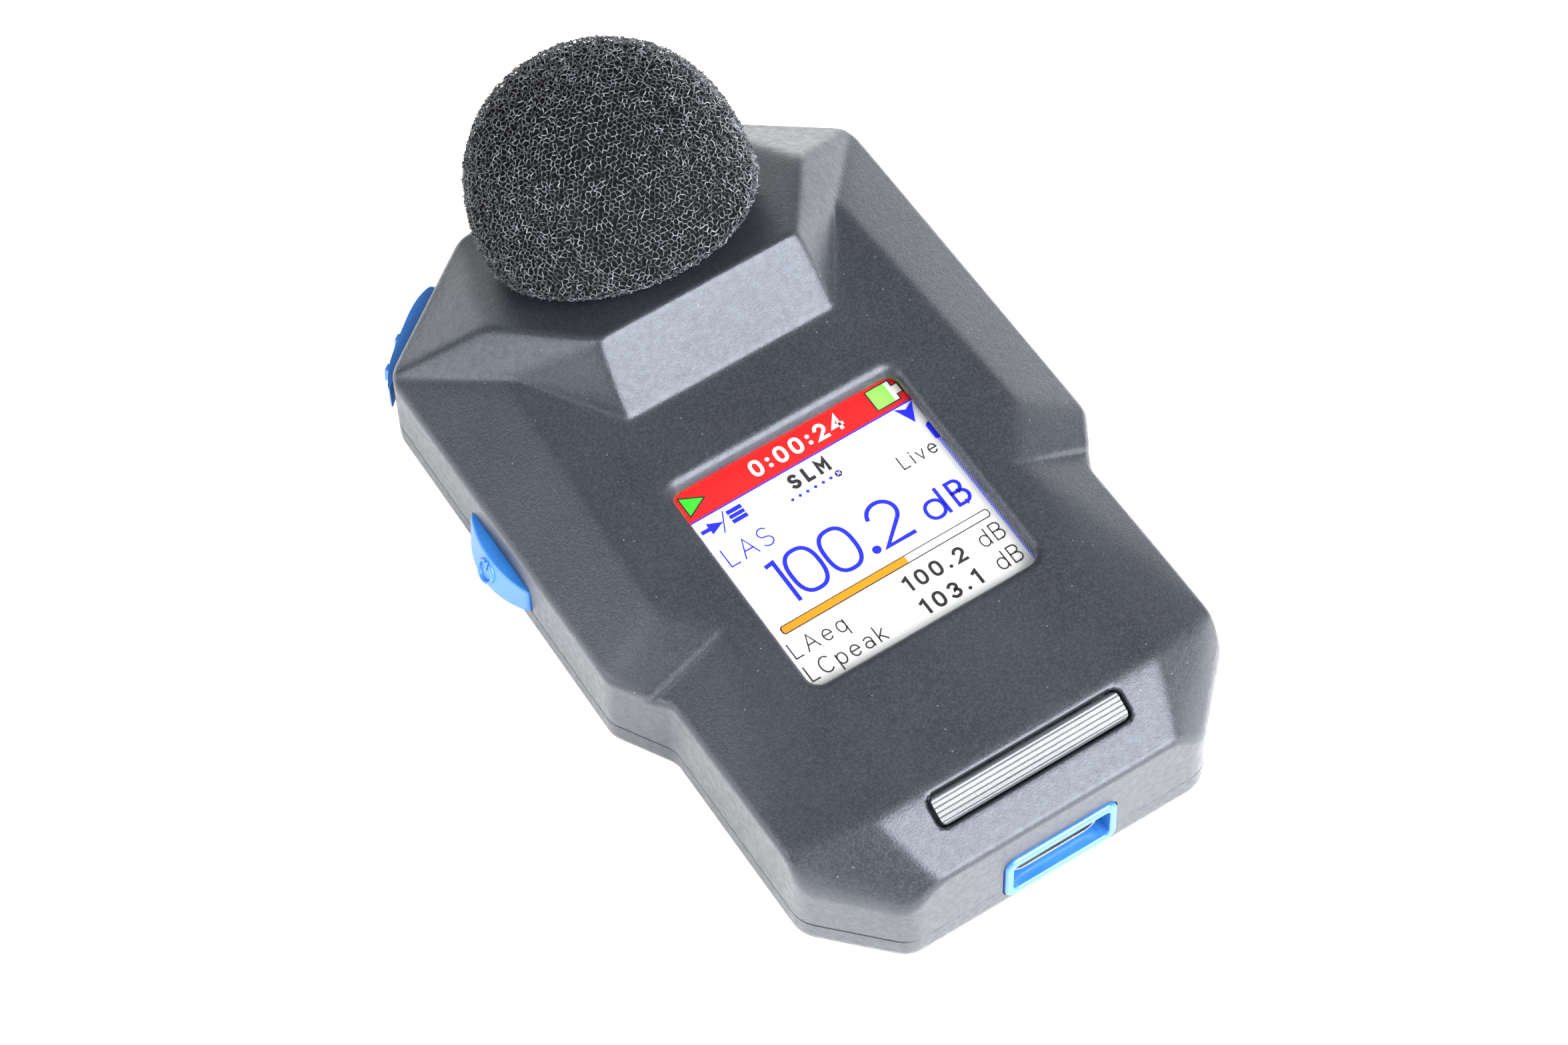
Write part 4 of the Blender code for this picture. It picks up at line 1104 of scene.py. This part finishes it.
# strokes in a box one cap height tall: width, then polylines, closed loops and dots
GLYPH = {
    "0": (0.62, [("loop", superloop(0.31, 0.5, 0.31, 0.5))]),
    "1": (0.40, [("line", [(0.04, 0.86), (0.3, 1.0), (0.3, 0.0)])]),
    "2": (0.62, [("line", arc(0.31, 0.69, 0.3, 0.31, 165, -38, 14) + [(0.01, 0.0), (0.62, 0.0)])]),
    "3": (0.6, [("line", arc(0.29, 0.74, 0.27, 0.26, 150, -80, 12) + arc(0.29, 0.26, 0.31, 0.27, 78, -155, 14))]),
    "4": (0.64, [("line", [(0.48, 0.0), (0.48, 1.0), (0.0, 0.3), (0.64, 0.3)])]),
    ".": (0.16, [(DOT, (0.08, 0.07, 0.085))]),
    ":": (0.16, [(DOT, (0.08, 0.16, 0.09)), (DOT, (0.08, 0.66, 0.09))]),
    "L": (0.46, [("line", [(0.0, 1.0), (0.0, 0.0), (0.46, 0.0)])]),
    "A": (0.72, [("line", [(0.0, 0.0), (0.36, 1.0), (0.72, 0.0)]), ("line", [(0.13, 0.36), (0.59, 0.36)])]),
    "S": (0.56, [("line", arc(0.28, 0.75, 0.26, 0.25, 35, 265, 14) + arc(0.28, 0.25, 0.28, 0.25, 85, -150, 14))]),
    "C": (0.66, [("line", arc(0.36, 0.5, 0.36, 0.5, 48, 312, 22))]),
    "M": (0.7, [("line", [(0.0, 0.0), (0.0, 1.0), (0.35, 0.42), (0.7, 1.0), (0.7, 0.0)])]),
    "i": (0.1, [("line", [(0.05, 0.0), (0.05, 0.68)]), (DOT, (0.05, 0.9, 0.06))]),
    "v": (0.5, [("line", [(0.0, 0.68), (0.25, 0.0), (0.5, 0.68)])]),
    "e": (0.52, [("line", [(0.02, 0.36), (0.52, 0.36)] + arc(0.26, 0.34, 0.26, 0.34, 8, 318, 18))]),
    "q": (0.52, [("loop", superloop(0.25, 0.34, 0.25, 0.34, 2.2, 24)), ("line", [(0.5, 0.68), (0.5, -0.3)])]),
    "p": (0.52, [("loop", superloop(0.27, 0.34, 0.25, 0.34, 2.2, 24)), ("line", [(0.02, 0.68), (0.02, -0.3)])]),
    "a": (0.5, [("loop", superloop(0.23, 0.2, 0.22, 0.2, 2.2, 20)), ("line", [(0.06, 0.6)] + arc(0.24, 0.48, 0.23, 0.2, 110, 0, 8) + [(0.47, 0.0)])]),
    "k": (0.44, [("line", [(0.0, 1.0), (0.0, 0.0)]), ("line", [(0.42, 0.68), (0.02, 0.26)]), ("line", [(0.14, 0.38), (0.44, 0.0)])]),
    "d": (0.54, [("loop", superloop(0.25, 0.33, 0.25, 0.33, 2.2, 24)), ("line", [(0.5, 1.0), (0.5, 0.0)])]),
    "B": (0.56, [("line", [(0.02, 0.53), (0.3, 0.53)] + arc(0.3, 0.765, 0.23, 0.235, -90, 90, 10) + [(0.02, 1.0), (0.02, 0.0), (0.3, 0.0)] + arc(0.3, 0.265, 0.26, 0.265, -90, 90, 12))]),
}
LCD_Z0, LCD_Z1 = 13.1, 13.16
LCD_ROT, LCD_C = math.radians(0.45), (0.5, 32.2)
lcd_parts = []     # (verts, faces, material index)
LCD_MATS = ["white", "red", "blue", "black", "green", "lime", "orange", "mist", "pale"]


def lcd_xy(x, y):
    c, s = math.cos(LCD_ROT), math.sin(LCD_ROT)
    dx, dy = x - LCD_C[0], y - LCD_C[1]
    return LCD_C[0] + c * dx - s * dy, LCD_C[1] + s * dx + c * dy


def lcd_poly(pts, mat, layer=0):
    """A flat polygon of one colour, as a thin closed plate."""
    pts = [lcd_xy(*p) for p in pts]
    area = sum(a[0] * b[1] - b[0] * a[1] for a, b in zip(pts, pts[1:] + pts[:1]))
    if area < 0:
        pts = pts[::-1]
    z0, z1 = LCD_Z0 + 0.02, LCD_Z1 + 0.012 * layer
    n = len(pts)
    verts = [(x, y, z0) for x, y in pts] + [(x, y, z1) for x, y in pts]
    faces = [tuple(range(n))[::-1], tuple(range(n, 2 * n))] + [(i, (i + 1) % n, n + (i + 1) % n, n + i) for i in range(n)]
    lcd_parts.append((verts, faces, LCD_MATS.index(mat)))


def lcd_stroke(pts, w, mat, closed=False, layer=1):
    """A line of constant width, mitred, as a thin closed plate."""
    P = [Vector(p) for p in pts]
    if not closed:
        P[0] = P[0] + (P[0] - P[1]).normalized() * w * 0.45
        P[-1] = P[-1] + (P[-1] - P[-2]).normalized() * w * 0.45
    n = len(P)
    L, Rr = [], []
    for i in range(n):
        a = P[i - 1] if (i > 0 or closed) else None
        b = P[(i + 1) % n] if (i < n - 1 or closed) else None
        d0 = (P[i] - a).normalized() if a is not None else (b - P[i]).normalized()
        d1 = (b - P[i]).normalized() if b is not None else d0
        n0, n1 = Vector((-d0.y, d0.x)), Vector((-d1.y, d1.x))
        m = n0 + n1
        if m.length < 0.2:
            m = n0
        m = m.normalized() / max(0.45, m.normalized().dot(n0))
        L.append(lcd_xy(*(P[i] + m * w / 2)))
        Rr.append(lcd_xy(*(P[i] - m * w / 2)))
    z0, z1 = LCD_Z0 + 0.02, LCD_Z1 + 0.012 * layer
    verts = [(x, y, z) for z in (z0, z1) for x, y in L + Rr]
    m = 2 * n
    faces = []
    rng = range(n) if closed else range(n - 1)
    for i in rng:
        j = (i + 1) % n
        faces += [(m + i, m + n + i, m + n + j, m + j), (i, j, n + j, n + i), (i, m + i, m + j, j), (n + i, n + j, m + n + j, m + n + i)]
    if not closed:
        faces += [(0, n, m + n, m), (n - 1, m + n - 1, m + 2 * n - 1, 2 * n - 1)]
    lcd_parts.append((verts, faces, LCD_MATS.index(mat)))


def lcd_disc(x, y, r, mat, layer=1, n=20):
    lcd_poly([(x + r * math.cos(2 * math.pi * k / n), y + r * math.sin(2 * math.pi * k / n)) for k in range(n)], mat, layer)


def lcd_text(text, x0, x1, y0, y1, w, mat, gap=None):
    """Fits the text between x0 and x1, with its capitals from y0 to y1."""
    hgt = y1 - y0 - w
    widths = [GLYPH[c][0] for c in text]
    free = (x1 - x0 - w) - 0
    # the letters keep their shape and the space between them takes the rest, unless that space would fall below a least
    # width; then the letters are narrowed
    tot = sum(widths) * hgt
    g = (free - tot) / max(1, len(text) - 1)
    sx = 1.0
    if g < 0.12 * hgt:
        g = 0.12 * hgt + w
        sx = (free - g * (len(text) - 1)) / tot
    x = x0 + w / 2
    for c, wd in zip(text, widths):
        for kind, data in GLYPH[c][1]:
            if kind == DOT:
                lcd_disc(x + data[0] * hgt * sx, y0 + w / 2 + data[1] * hgt, max(data[2] * hgt, w * 0.62), mat)
            else:
                lcd_stroke([(x + p[0] * hgt * sx, y0 + w / 2 + p[1] * hgt) for p in data], w, mat, kind == "loop")
        x += wd * hgt * sx + g


lcd_poly([(-11.6, 40.42), (12.5, 40.42), (12.5, 43.62), (-11.6, 43.62)], "red")
lcd_poly([(-11.6, 40.28), (12.5, 40.28), (12.5, 40.42), (-11.6, 40.42)], "blue")
lcd_poly([(-10.62, 43.25), (-10.62, 40.83), (-8.32, 42.04)], "black", 1)
lcd_poly([(-10.48, 43.0), (-10.48, 41.08), (-8.65, 42.04)], "green", 2)
lcd_text("0:00:24", -3.75, 5.75, 41.12, 42.84, 0.33, "pale")
lcd_poly([(8.84, 40.84), (11.36, 40.84), (11.36, 41.42), (11.94, 41.42), (11.94, 42.56), (11.36, 42.56), (11.36, 43.2), (8.84, 43.2)], "black", 1)
lcd_poly([(8.97, 40.98), (11.22, 40.98), (11.22, 41.55), (11.8, 41.55), (11.8, 42.43), (11.22, 42.43), (11.22, 43.07), (8.97, 43.07)], "pale", 2)
lcd_poly([(8.97, 40.98), (10.78, 40.98), (10.78, 43.07), (8.97, 43.07)], "lime", 3)
lcd_poly([(-10.68, 38.84), (-9.85, 38.84), (-9.85, 38.42), (-8.5, 39.03), (-9.85, 39.64), (-9.85, 39.22), (-10.68, 39.22)], "blue")
lcd_stroke([(-7.98, 39.92), (-8.9, 38.03)], 0.1, "blue")
for y0, y1 in ((39.36, 39.77), (38.86, 39.23), (38.32, 38.73)):
    lcd_poly([(-7.78, y0), (-6.28, y0), (-6.28, y1), (-7.78, y1)], "blue")
lcd_text("SLM", -1.64, 2.34, 38.23, 39.75, 0.33, "black")
for x in (-2.27, -1.48, -0.70, 0.11, 0.91, 1.70):
    lcd_poly([(x - 0.19, 37.52), (x, 37.33), (x + 0.19, 37.52), (x, 37.71)], "blue")
lcd_disc(2.5, 37.55, 0.33, "black", 1)
lcd_disc(2.5, 37.55, 0.22, "blue", 2)
for sx, sy in ((1, 1), (1, -1)):
    lcd_stroke([(2.5 - 0.14 * sx, 37.55 - 0.14 * sy), (2.5 + 0.14 * sx, 37.55 + 0.14 * sy)], 0.06, "pale", layer=4)
lcd_poly([(10.05, 40.24), (10.98, 39.72), (11.92, 40.24), (10.98, 38.18)], "blue")
lcd_text("LAS", -10.34, -5.72, 34.73, 36.72, 0.11, "blue")
lcd_text("Live", 7.42, 11.1, 34.6, 36.08, 0.11, "black")
lcd_poly([(11.62, 21.0), (12.02, 21.0), (12.02, 36.0), (11.62, 36.0)], "mist")
lcd_poly([(11.5, 35.85), (11.62, 35.72), (12.08, 35.72), (12.08, 37.6), (11.75, 37.6), (11.5, 37.35)], "blue", 1)
# big reading
for k, x in enumerate((-6.75, -3.25)):
    lcd_stroke(superloop(x + 1.62, 31.08, 1.44, 2.2, 2.55, 44), 0.38, "blue", True)
lcd_stroke([(-7.85, 33.12), (-7.2, 33.22), (-7.2, 28.9)], 0.38, "blue")
lcd_disc(0.96, 29.28, 0.41, "blue")
lcd_stroke(arc(3.28, 31.95, 1.36, 1.32, 168, -40, 16) + [(1.95, 28.98), (4.65, 28.98)], 0.38, "blue")
lcd_stroke(superloop(7.42, 29.85, 0.85, 0.92, 2.2, 28), 0.32, "blue", True)
lcd_stroke([(8.42, 31.55), (8.42, 28.95)], 0.32, "blue")
lcd_stroke([(9.42, 30.3), (10.05, 30.3)] + arc(10.05, 30.86, 0.48, 0.56, -90, 90, 10) + [(9.42, 31.42), (9.42, 28.98), (10.1, 28.98)] + arc(10.1, 29.64, 0.62, 0.66, -90, 90, 12), 0.32, "blue")
# level bar
bx0, bx1, by0, by1 = -10.3, 11.1, 26.62, 27.5
lcd_poly([(bx0 + 0.2, by0), (bx1 - 0.2, by0), (bx1, by0 + 0.2), (bx1, by1 - 0.2), (bx1 - 0.2, by1), (bx0 + 0.2, by1), (bx0, by1 - 0.2), (bx0, by0 + 0.2)], "black", 1)
c0, c1, d0, d1 = bx0 + 0.1, bx1 - 0.1, by0 + 0.1, by1 - 0.1
lcd_poly([(c0 + 0.15, d0), (c1 - 0.15, d0), (c1, d0 + 0.15), (c1, d1 - 0.15), (c1 - 0.15, d1), (c0 + 0.15, d1), (c0, d1 - 0.15), (c0, d0 + 0.15)], "pale", 2)
lcd_poly([(c0 + 0.15, d0), (2.52, d0), (2.52, d1), (c0 + 0.15, d1), (c0, d1 - 0.15), (c0, d0 + 0.15)], "orange", 3)
lcd_text("LAeq", -10.75, -5.3, 24.05, 25.75, 0.11, "black")
lcd_text("100.2", 0.85, 7.1, 24.12, 25.7, 0.27, "black")
lcd_text("dB", 8.7, 11.12, 24.2, 26.0, 0.11, "black")
lcd_text("LCpeak", -10.8, -3.0, 21.45, 23.15, 0.11, "black")
lcd_text("103.1", 0.85, 7.0, 21.45, 23.05, 0.27, "black")
lcd_text("dB", 8.7, 11.12, 21.5, 23.3, 0.11, "black")

verts, faces, mids = [], [], []
for vv, ff, mi in lcd_parts:
    o = len(verts)
    verts += vv
    faces += [tuple(i + o for i in f) for f in ff]
    mids += [mi] * len(ff)
me = bpy.data.meshes.new("lcd")
me.from_pydata([tuple(c * MM for c in p) for p in verts], [], faces)
me.polygons.foreach_set("material_index", mids)
place(new_obj(me, "lcd"), "display_graphics", "case", [M_LCD[k] for k in LCD_MATS], None, smooth=False)

# the panel carries the white display material, so it shares that painted glow
panel = rounded_box(-12.6, 12.6, SCREEN_Y - 13.4, SCREEN_Y + 12.4, 12.1, 13.1, 0.3, seg=3)
bevel(panel, 0.08, 2, 60.0)
place(panel, "display_panel_glass", "case", M_LCD["white"], "display_panel", angle=40)

# ================================================================ light bar
prof = [(1.3, -2.2), (1.35, -0.25)]
FL = 6
for k in range(FL):
    for j in range(6):
        t = (k + j / 6) / FL
        yy = 1.32 - 2.64 * t
        edge = min(1.0, min(t, 1 - t) * 9)
        prof.append((yy, -0.02 + 0.05 * abs(math.sin(math.pi * (t * FL))) ** 0.7 * edge - 0.25 * (1 - edge) ** 2))
prof += [(-1.35, -0.25), (-1.3, -2.2)]
LROT = LENS @ Matrix(((0, 0, 1, 0), (1, 0, 0, 0), (0, 1, 0, 0), (0, 0, 0, 1)))
bar = prism(prof[::-1], -9.45, 9.45, frame=LROT)
lim = rounded_box(-9.4, 9.4, -1.32, 1.32, -3, 1.0, 0.6, frame=LENS, seg=8)
common(bar, lim)
place(bar, "light_bar_lens", "case", M_PIPE, "light_pipe", angle=50)

# ================================================================ foam windscreen
WSF = Matrix.Translation((0, WS_Y, WS_Z)) @ Matrix.Rotation(-TILT, 4, "X")
WS_R, WS_TOP, WS_S0, WS_RB, WS_POW = 13.0, 17.6, 2.5, 10.65, 2.33


def cell_noise(P, size, seed):
    """Distance to the nearest and second nearest jittered cell point, in cells."""
    q = P / size
    base = np.floor(q).astype(np.int64)
    d1 = np.full(len(P), 9.0)
    d2 = np.full(len(P), 9.0)
    for i in (-1, 0, 1):
        for j in (-1, 0, 1):
            for k in (-1, 0, 1):
                c = base + np.array([i, j, k])
                hsh = (c[:, 0] * 73856093) ^ (c[:, 1] * 19349663) ^ (c[:, 2] * 83492791) ^ seed
                r = []
                for s in (12.9898, 78.233, 37.719):
                    t = np.sin((hsh % 100003) * s) * 43758.5453
                    r.append(t - np.floor(t))
                pt = c + np.stack(r, 1)
                d = np.linalg.norm(q - pt, axis=1)
                d2 = np.where(d < d1, d1, np.minimum(d2, d))
                d1 = np.minimum(d1, d)
    return d1, d2


def windscreen():
    prof = []
    N = 150
    for k in range(N + 1):
        t = math.pi / 2 * (1 - k / N)
        sv = WS_S0 + (WS_TOP - WS_S0) * math.sin(t)
        prof.append((WS_R * max(0.0, 1 - math.sin(t) ** WS_POW) ** (1 / WS_POW), sv, 1.0))
    for k in range(1, 40):
        t = math.pi / 2 * k / 40
        prof.append((WS_RB + (WS_R - WS_RB) * math.cos(t), WS_S0 - (WS_S0 - 0.5) * math.sin(t), 1.0))
    prof += [(WS_RB - 0.4, 0.42, 0.5), (8.0, 0.4, 0.3), (6.1, 0.4, 0.3), (5.6, 0.7, 0.0), (5.5, 3.0, 0.0), (5.5, 9.6, 0.0), (5.0, 10.1, 0.0), (0.0, 10.1, 0.0)]
    # even spacing of the dome rows along their length
    dome = np.array([(a, b) for a, b, c in prof[:N + 40]])
    L = np.concatenate([[0], np.cumsum(np.linalg.norm(np.diff(dome, axis=0), axis=1))])
    rows = 150
    s = np.linspace(0, L[-1], rows)
    dome = np.stack([np.interp(s, L, dome[:, 0]), np.interp(s, L, dome[:, 1])], 1)
    prof = [(a, b, 1.0) for a, b in dome] + prof[N + 40:]
    seg = 400
    P, W_, rings = [], [], []
    for r, h, w in prof:
        if r < 0.02:
            rings.append([len(P)])
            P.append((0.0, 0.0, h))
            W_.append(w)
        else:
            rings.append(list(range(len(P), len(P) + seg)))
            P += [(r * math.cos(2 * math.pi * k / seg), r * math.sin(2 * math.pi * k / seg), h) for k in range(seg)]
            W_ += [w] * seg
    faces = []
    for a, b in zip(rings, rings[1:]):
        for k in range(seg):
            k2 = (k + 1) % seg
            if len(a) == 1:
                faces.append((a[0], b[k], b[k2]))
            elif len(b) == 1:
                faces.append((a[k], a[k2], b[0]))
            else:
                faces.append((a[k], a[k2], b[k2], b[k]))
    P, W_ = np.array(P), np.array(W_)
    # outward direction from the profile
    c = np.array([0, 0, 5.0])
    D = P - c
    D[:, 2] *= 0.8
    D /= np.maximum(np.linalg.norm(D, axis=1, keepdims=True), 1e-9)
    d1, d2 = cell_noise(P, 0.62, 11)
    e1, e2 = cell_noise(P, 1.9, 5)
    pores = np.clip((d2 - d1) / 0.35, 0, 1)           # 0 on the strands between cells, 1 inside a cell
    soft = (e1 - 0.5) * 0.10
    disp = -0.26 * pores * np.clip(1.1 - d1, 0, 1) + soft - 0.55
    P = P + D * (disp * W_)[:, None]
    # the foam sits a little askew: leaning toward -X and further toward +Y
    lean = Matrix.Rotation(math.radians(-4.2), 4, Vector((0, 1, 0))) @ Matrix.Rotation(math.radians(-1.5), 4, "X")
    pts = []
    for p, w in zip(P, W_):
        u = Vector(p)
        k = min(1.0, max(0.0, p[2] / 4.0))
        if w > 0:
            u = u.lerp(lean @ u, k)
        pts.append(tuple(WSF @ u))
    me = bpy.data.meshes.new("foam")
    me.from_pydata([tuple(c * MM for c in p) for p in pts], [], faces)
    bm = bmesh.new()
    bm.from_mesh(me)
    bmesh.ops.recalc_face_normals(bm, faces=bm.faces)
    bm.to_mesh(me)
    bm.free()
    return new_obj(me, "foam")


ws = place(windscreen(), "windscreen_foam_cover", "windscreen", M_FOAM, "windscreen", angle=80, weight=False)


def foam_net():
    """Strands of the open-cell skin: the edges between jittered cells spread over the dome, and loose cut ends."""
    rng = np.random.default_rng(7)
    t = np.linspace(math.pi / 2, 0.0, 200)
    R = WS_R * np.maximum(0.0, 1 - np.sin(t) ** WS_POW) ** (1 / WS_POW)
    S = WS_S0 + (WS_TOP - WS_S0) * np.sin(t)
    t2 = np.linspace(0, math.pi / 2, 60)[1:]
    R = np.concatenate([R, WS_RB + (WS_R - WS_RB) * np.cos(t2)]) - 0.12
    S = np.concatenate([S, WS_S0 - (WS_S0 - 0.5) * np.sin(t2)])
    S[:200] -= 0.12 * np.sin(t)
    L = np.concatenate([[0], np.cumsum(np.hypot(np.diff(R), np.diff(S)))])
    bm = bmesh.new()
    bmesh.ops.create_icosphere(bm, subdivisions=6, radius=1.0)
    bm.verts.ensure_lookup_table()
    d = np.array([p.co[:] for p in bm.verts])
    tri = np.array([[p.index for p in f.verts] for f in bm.faces])
    pair = np.array([[f.index for f in e.link_faces] for e in bm.edges])
    bm.free()
    d += rng.normal(0, 0.0085, d.shape)
    d /= np.linalg.norm(d, axis=1, keepdims=True)
    c = d[tri].mean(1)
    c /= np.linalg.norm(c, axis=1, keepdims=True)
    th = np.arccos(np.clip(c[:, 2], -1, 1))
    s = th * 12.6
    ok = s < L[-1]
    r = np.interp(s, L, R)
    z = np.interp(s, L, S)
    a = np.arctan2(c[:, 1], c[:, 0])
    P = np.stack([r * np.cos(a), r * np.sin(a), z], 1)
    out = P - np.array([0, 0, 5.0])
    out[:, 2] *= 0.8
    out /= np.linalg.norm(out, axis=1, keepdims=True)
    P += out * rng.uniform(-0.28, 0.10, len(P))[:, None] + rng.normal(0, 0.045, P.shape)
    pair = pair[ok[pair].all(1)]
    pair = pair[rng.random(len(pair)) < 0.93]
    A, B = P[pair[:, 0]], P[pair[:, 1]]
    ax = B - A
    ax /= np.maximum(np.linalg.norm(ax, axis=1, keepdims=True), 1e-9)
    o = out[pair[:, 0]]
    side = np.cross(ax, o)
    side /= np.maximum(np.linalg.norm(side, axis=1, keepdims=True), 1e-9)
    up = np.cross(side, ax)
    w = rng.uniform(0.035, 0.06, len(A))
    V, Fc = [], []
    ang = rng.uniform(0, 2 * math.pi, len(A))
    for e in (A - ax * 0.02, B + ax * 0.02):
        for j in range(3):
            q = ang + 2 * math.pi * j / 3
            V.append(e + (side * np.cos(q)[:, None] + up * np.sin(q)[:, None]) * w[:, None])
    V = np.stack(V, 1).reshape(-1, 3)
    tris = np.array([(0, 2, 1), (3, 4, 5), (0, 1, 4), (0, 4, 3), (1, 2, 5), (1, 5, 4), (2, 0, 3), (2, 3, 5)])
    Fc = (np.arange(len(A))[:, None, None] * 6 + tris[None]).reshape(-1, 3)
    # loose ends
    pick = np.flatnonzero(ok & (rng.random(len(P)) < 0.22))
    b = P[pick]
    tip = b + (out[pick] * rng.uniform(0.12, 0.3, len(pick))[:, None] + rng.normal(0, 0.07, b.shape))
    e1 = np.cross(out[pick], rng.normal(0, 1, b.shape))
    e1 /= np.linalg.norm(e1, axis=1, keepdims=True)
    e2 = np.cross(out[pick], e1)
    base = [b + (e1 * math.cos(q) + e2 * math.sin(q)) * 0.045 for q in (0, 2.0944, 4.1888)]
    V2 = np.stack(base + [tip], 1).reshape(-1, 3)
    F2 = (np.arange(len(pick))[:, None, None] * 4 + np.array([(0, 2, 1), (0, 1, 3), (1, 2, 3), (2, 0, 3)])[None]).reshape(-1, 3) + len(V)
    V = np.concatenate([V, V2])
    Fc = np.concatenate([Fc, F2])
    lean = np.array((Matrix.Rotation(math.radians(-4.2), 3, Vector((0, 1, 0))) @ Matrix.Rotation(math.radians(-1.5), 3, "X")))
    kk = np.clip(V[:, 2] / 4.0, 0, 1)[:, None]
    V = V * (1 - kk) + (V @ lean.T) * kk
    M = np.array(WSF)
    V = V @ M[:3, :3].T + M[:3, 3]
    me = bpy.data.meshes.new("net")
    me.from_pydata((V * MM).tolist(), [], Fc.tolist())
    return new_obj(me, "net")


place(foam_net(), "windscreen_foam_strands", "windscreen", M_STRAND, None, smooth=False)

# ================================================================ carried nodes
SLOT_MAT = {
    "battery_cell": M_CELL, "battery_connector": M_WHITE, "battery_pad": M_PAD, "display_flex": M_FLEX, "display_tray": M_TRAY,
    "left_switch": M_CHIP, "right_switch": M_CHIP, "power_switch": M_CHIP, "left_switch_board": M_PCB, "right_switch_board": M_PCB,
    "power_switch_board": M_PCB, "main_board": M_PCB, "usb_board": M_PCB, "preamp_board": M_PCB, "preamp_flex": M_FLEX,
    "microphone_capsule": M_STEEL, "microphone_grid": M_STEEL, "microphone_seal": M_RUBBER, "preamp_housing": M_ALU,
    "processor_chip": M_CHIP, "radio_shield": M_STEEL, "status_led_1": M_LED, "status_led_2": M_LED,
}
for name, obj in NODES.items():
    if name.startswith("case_screw"):
        mat = M_STEEL
    elif name.startswith("thread_insert"):
        mat = M_BRASS
    else:
        mat = SLOT_MAT.get(name)
    if mat is None or obj.hide_render:
        continue
    if len(obj.material_slots) == 0:
        obj.data.materials.append(mat)
    for s in obj.material_slots:
        s.material = mat

# ================================================================ floor and light
fl = bpy.data.meshes.new("floor")
fl.from_pydata([(-3, -3, 0), (3, -3, 0), (3, 3, 0), (-3, 3, 0)], [], [(0, 1, 2, 3)])
floor = new_obj(fl, "floor")
k = Nodes("floor_card")
k.set(Base_Color=k.mix(k.grey(k.noise(40, 3.0), 0.0, 1.0, 0.3, 0.7), (0.86, 0.86, 0.86), (0.89, 0.89, 0.89)), Roughness=k.grey(k.noise(300), 0.8, 0.9), Specular_IOR_Level=0.1, Emission_Color=(1.0, 1.0, 1.0), Emission_Strength=0.65)
fl.materials.append(k.m)


def area(name, direction, dist, sx, sy, power, color=(1, 1, 1), aim=(0, 0, 0.008)):
    d = bpy.data.lights.new(name, "AREA")
    d.shape = "RECTANGLE"
    d.size, d.size_y = sx, sy
    d.energy = power
    d.color = color
    o = bpy.data.objects.new(name, d)
    SCENE.collection.objects.link(o)
    v = Vector(direction).normalized()
    o.location = Vector(aim) + v * dist
    o.rotation_mode = "QUATERNION"
    o.rotation_quaternion = v.to_track_quat("Z", "Y")
    return o


def radiance(power, sx, sy):
    return power / (math.pi * sx * sy)


# big window-like softbox in front, from low to high
area("softbox_front", (0.22, -0.74, 0.60), 1.1, 1.15, 1.15, 16.0 * math.pi * 1.15 * 1.15, (1.0, 1.0, 1.0))
area("fill_left", (-0.92, 0.20, 0.36), 1.3, 0.75, 0.75, 6.5 * math.pi * 0.5625, (0.97, 0.985, 1.0))
world = bpy.data.worlds.new("studio")
SCENE.world = world
world.use_nodes = True
bg = world.node_tree.nodes["Background"]
bg.inputs["Color"].default_value = (0.96, 0.98, 1.0, 1.0)
bg.inputs["Strength"].default_value = 0.48
SCENE.view_settings.view_transform = "Standard"
SCENE.view_settings.look = "None"
SCENE.view_settings.exposure = 0.0
SCENE.view_settings.gamma = 1.0
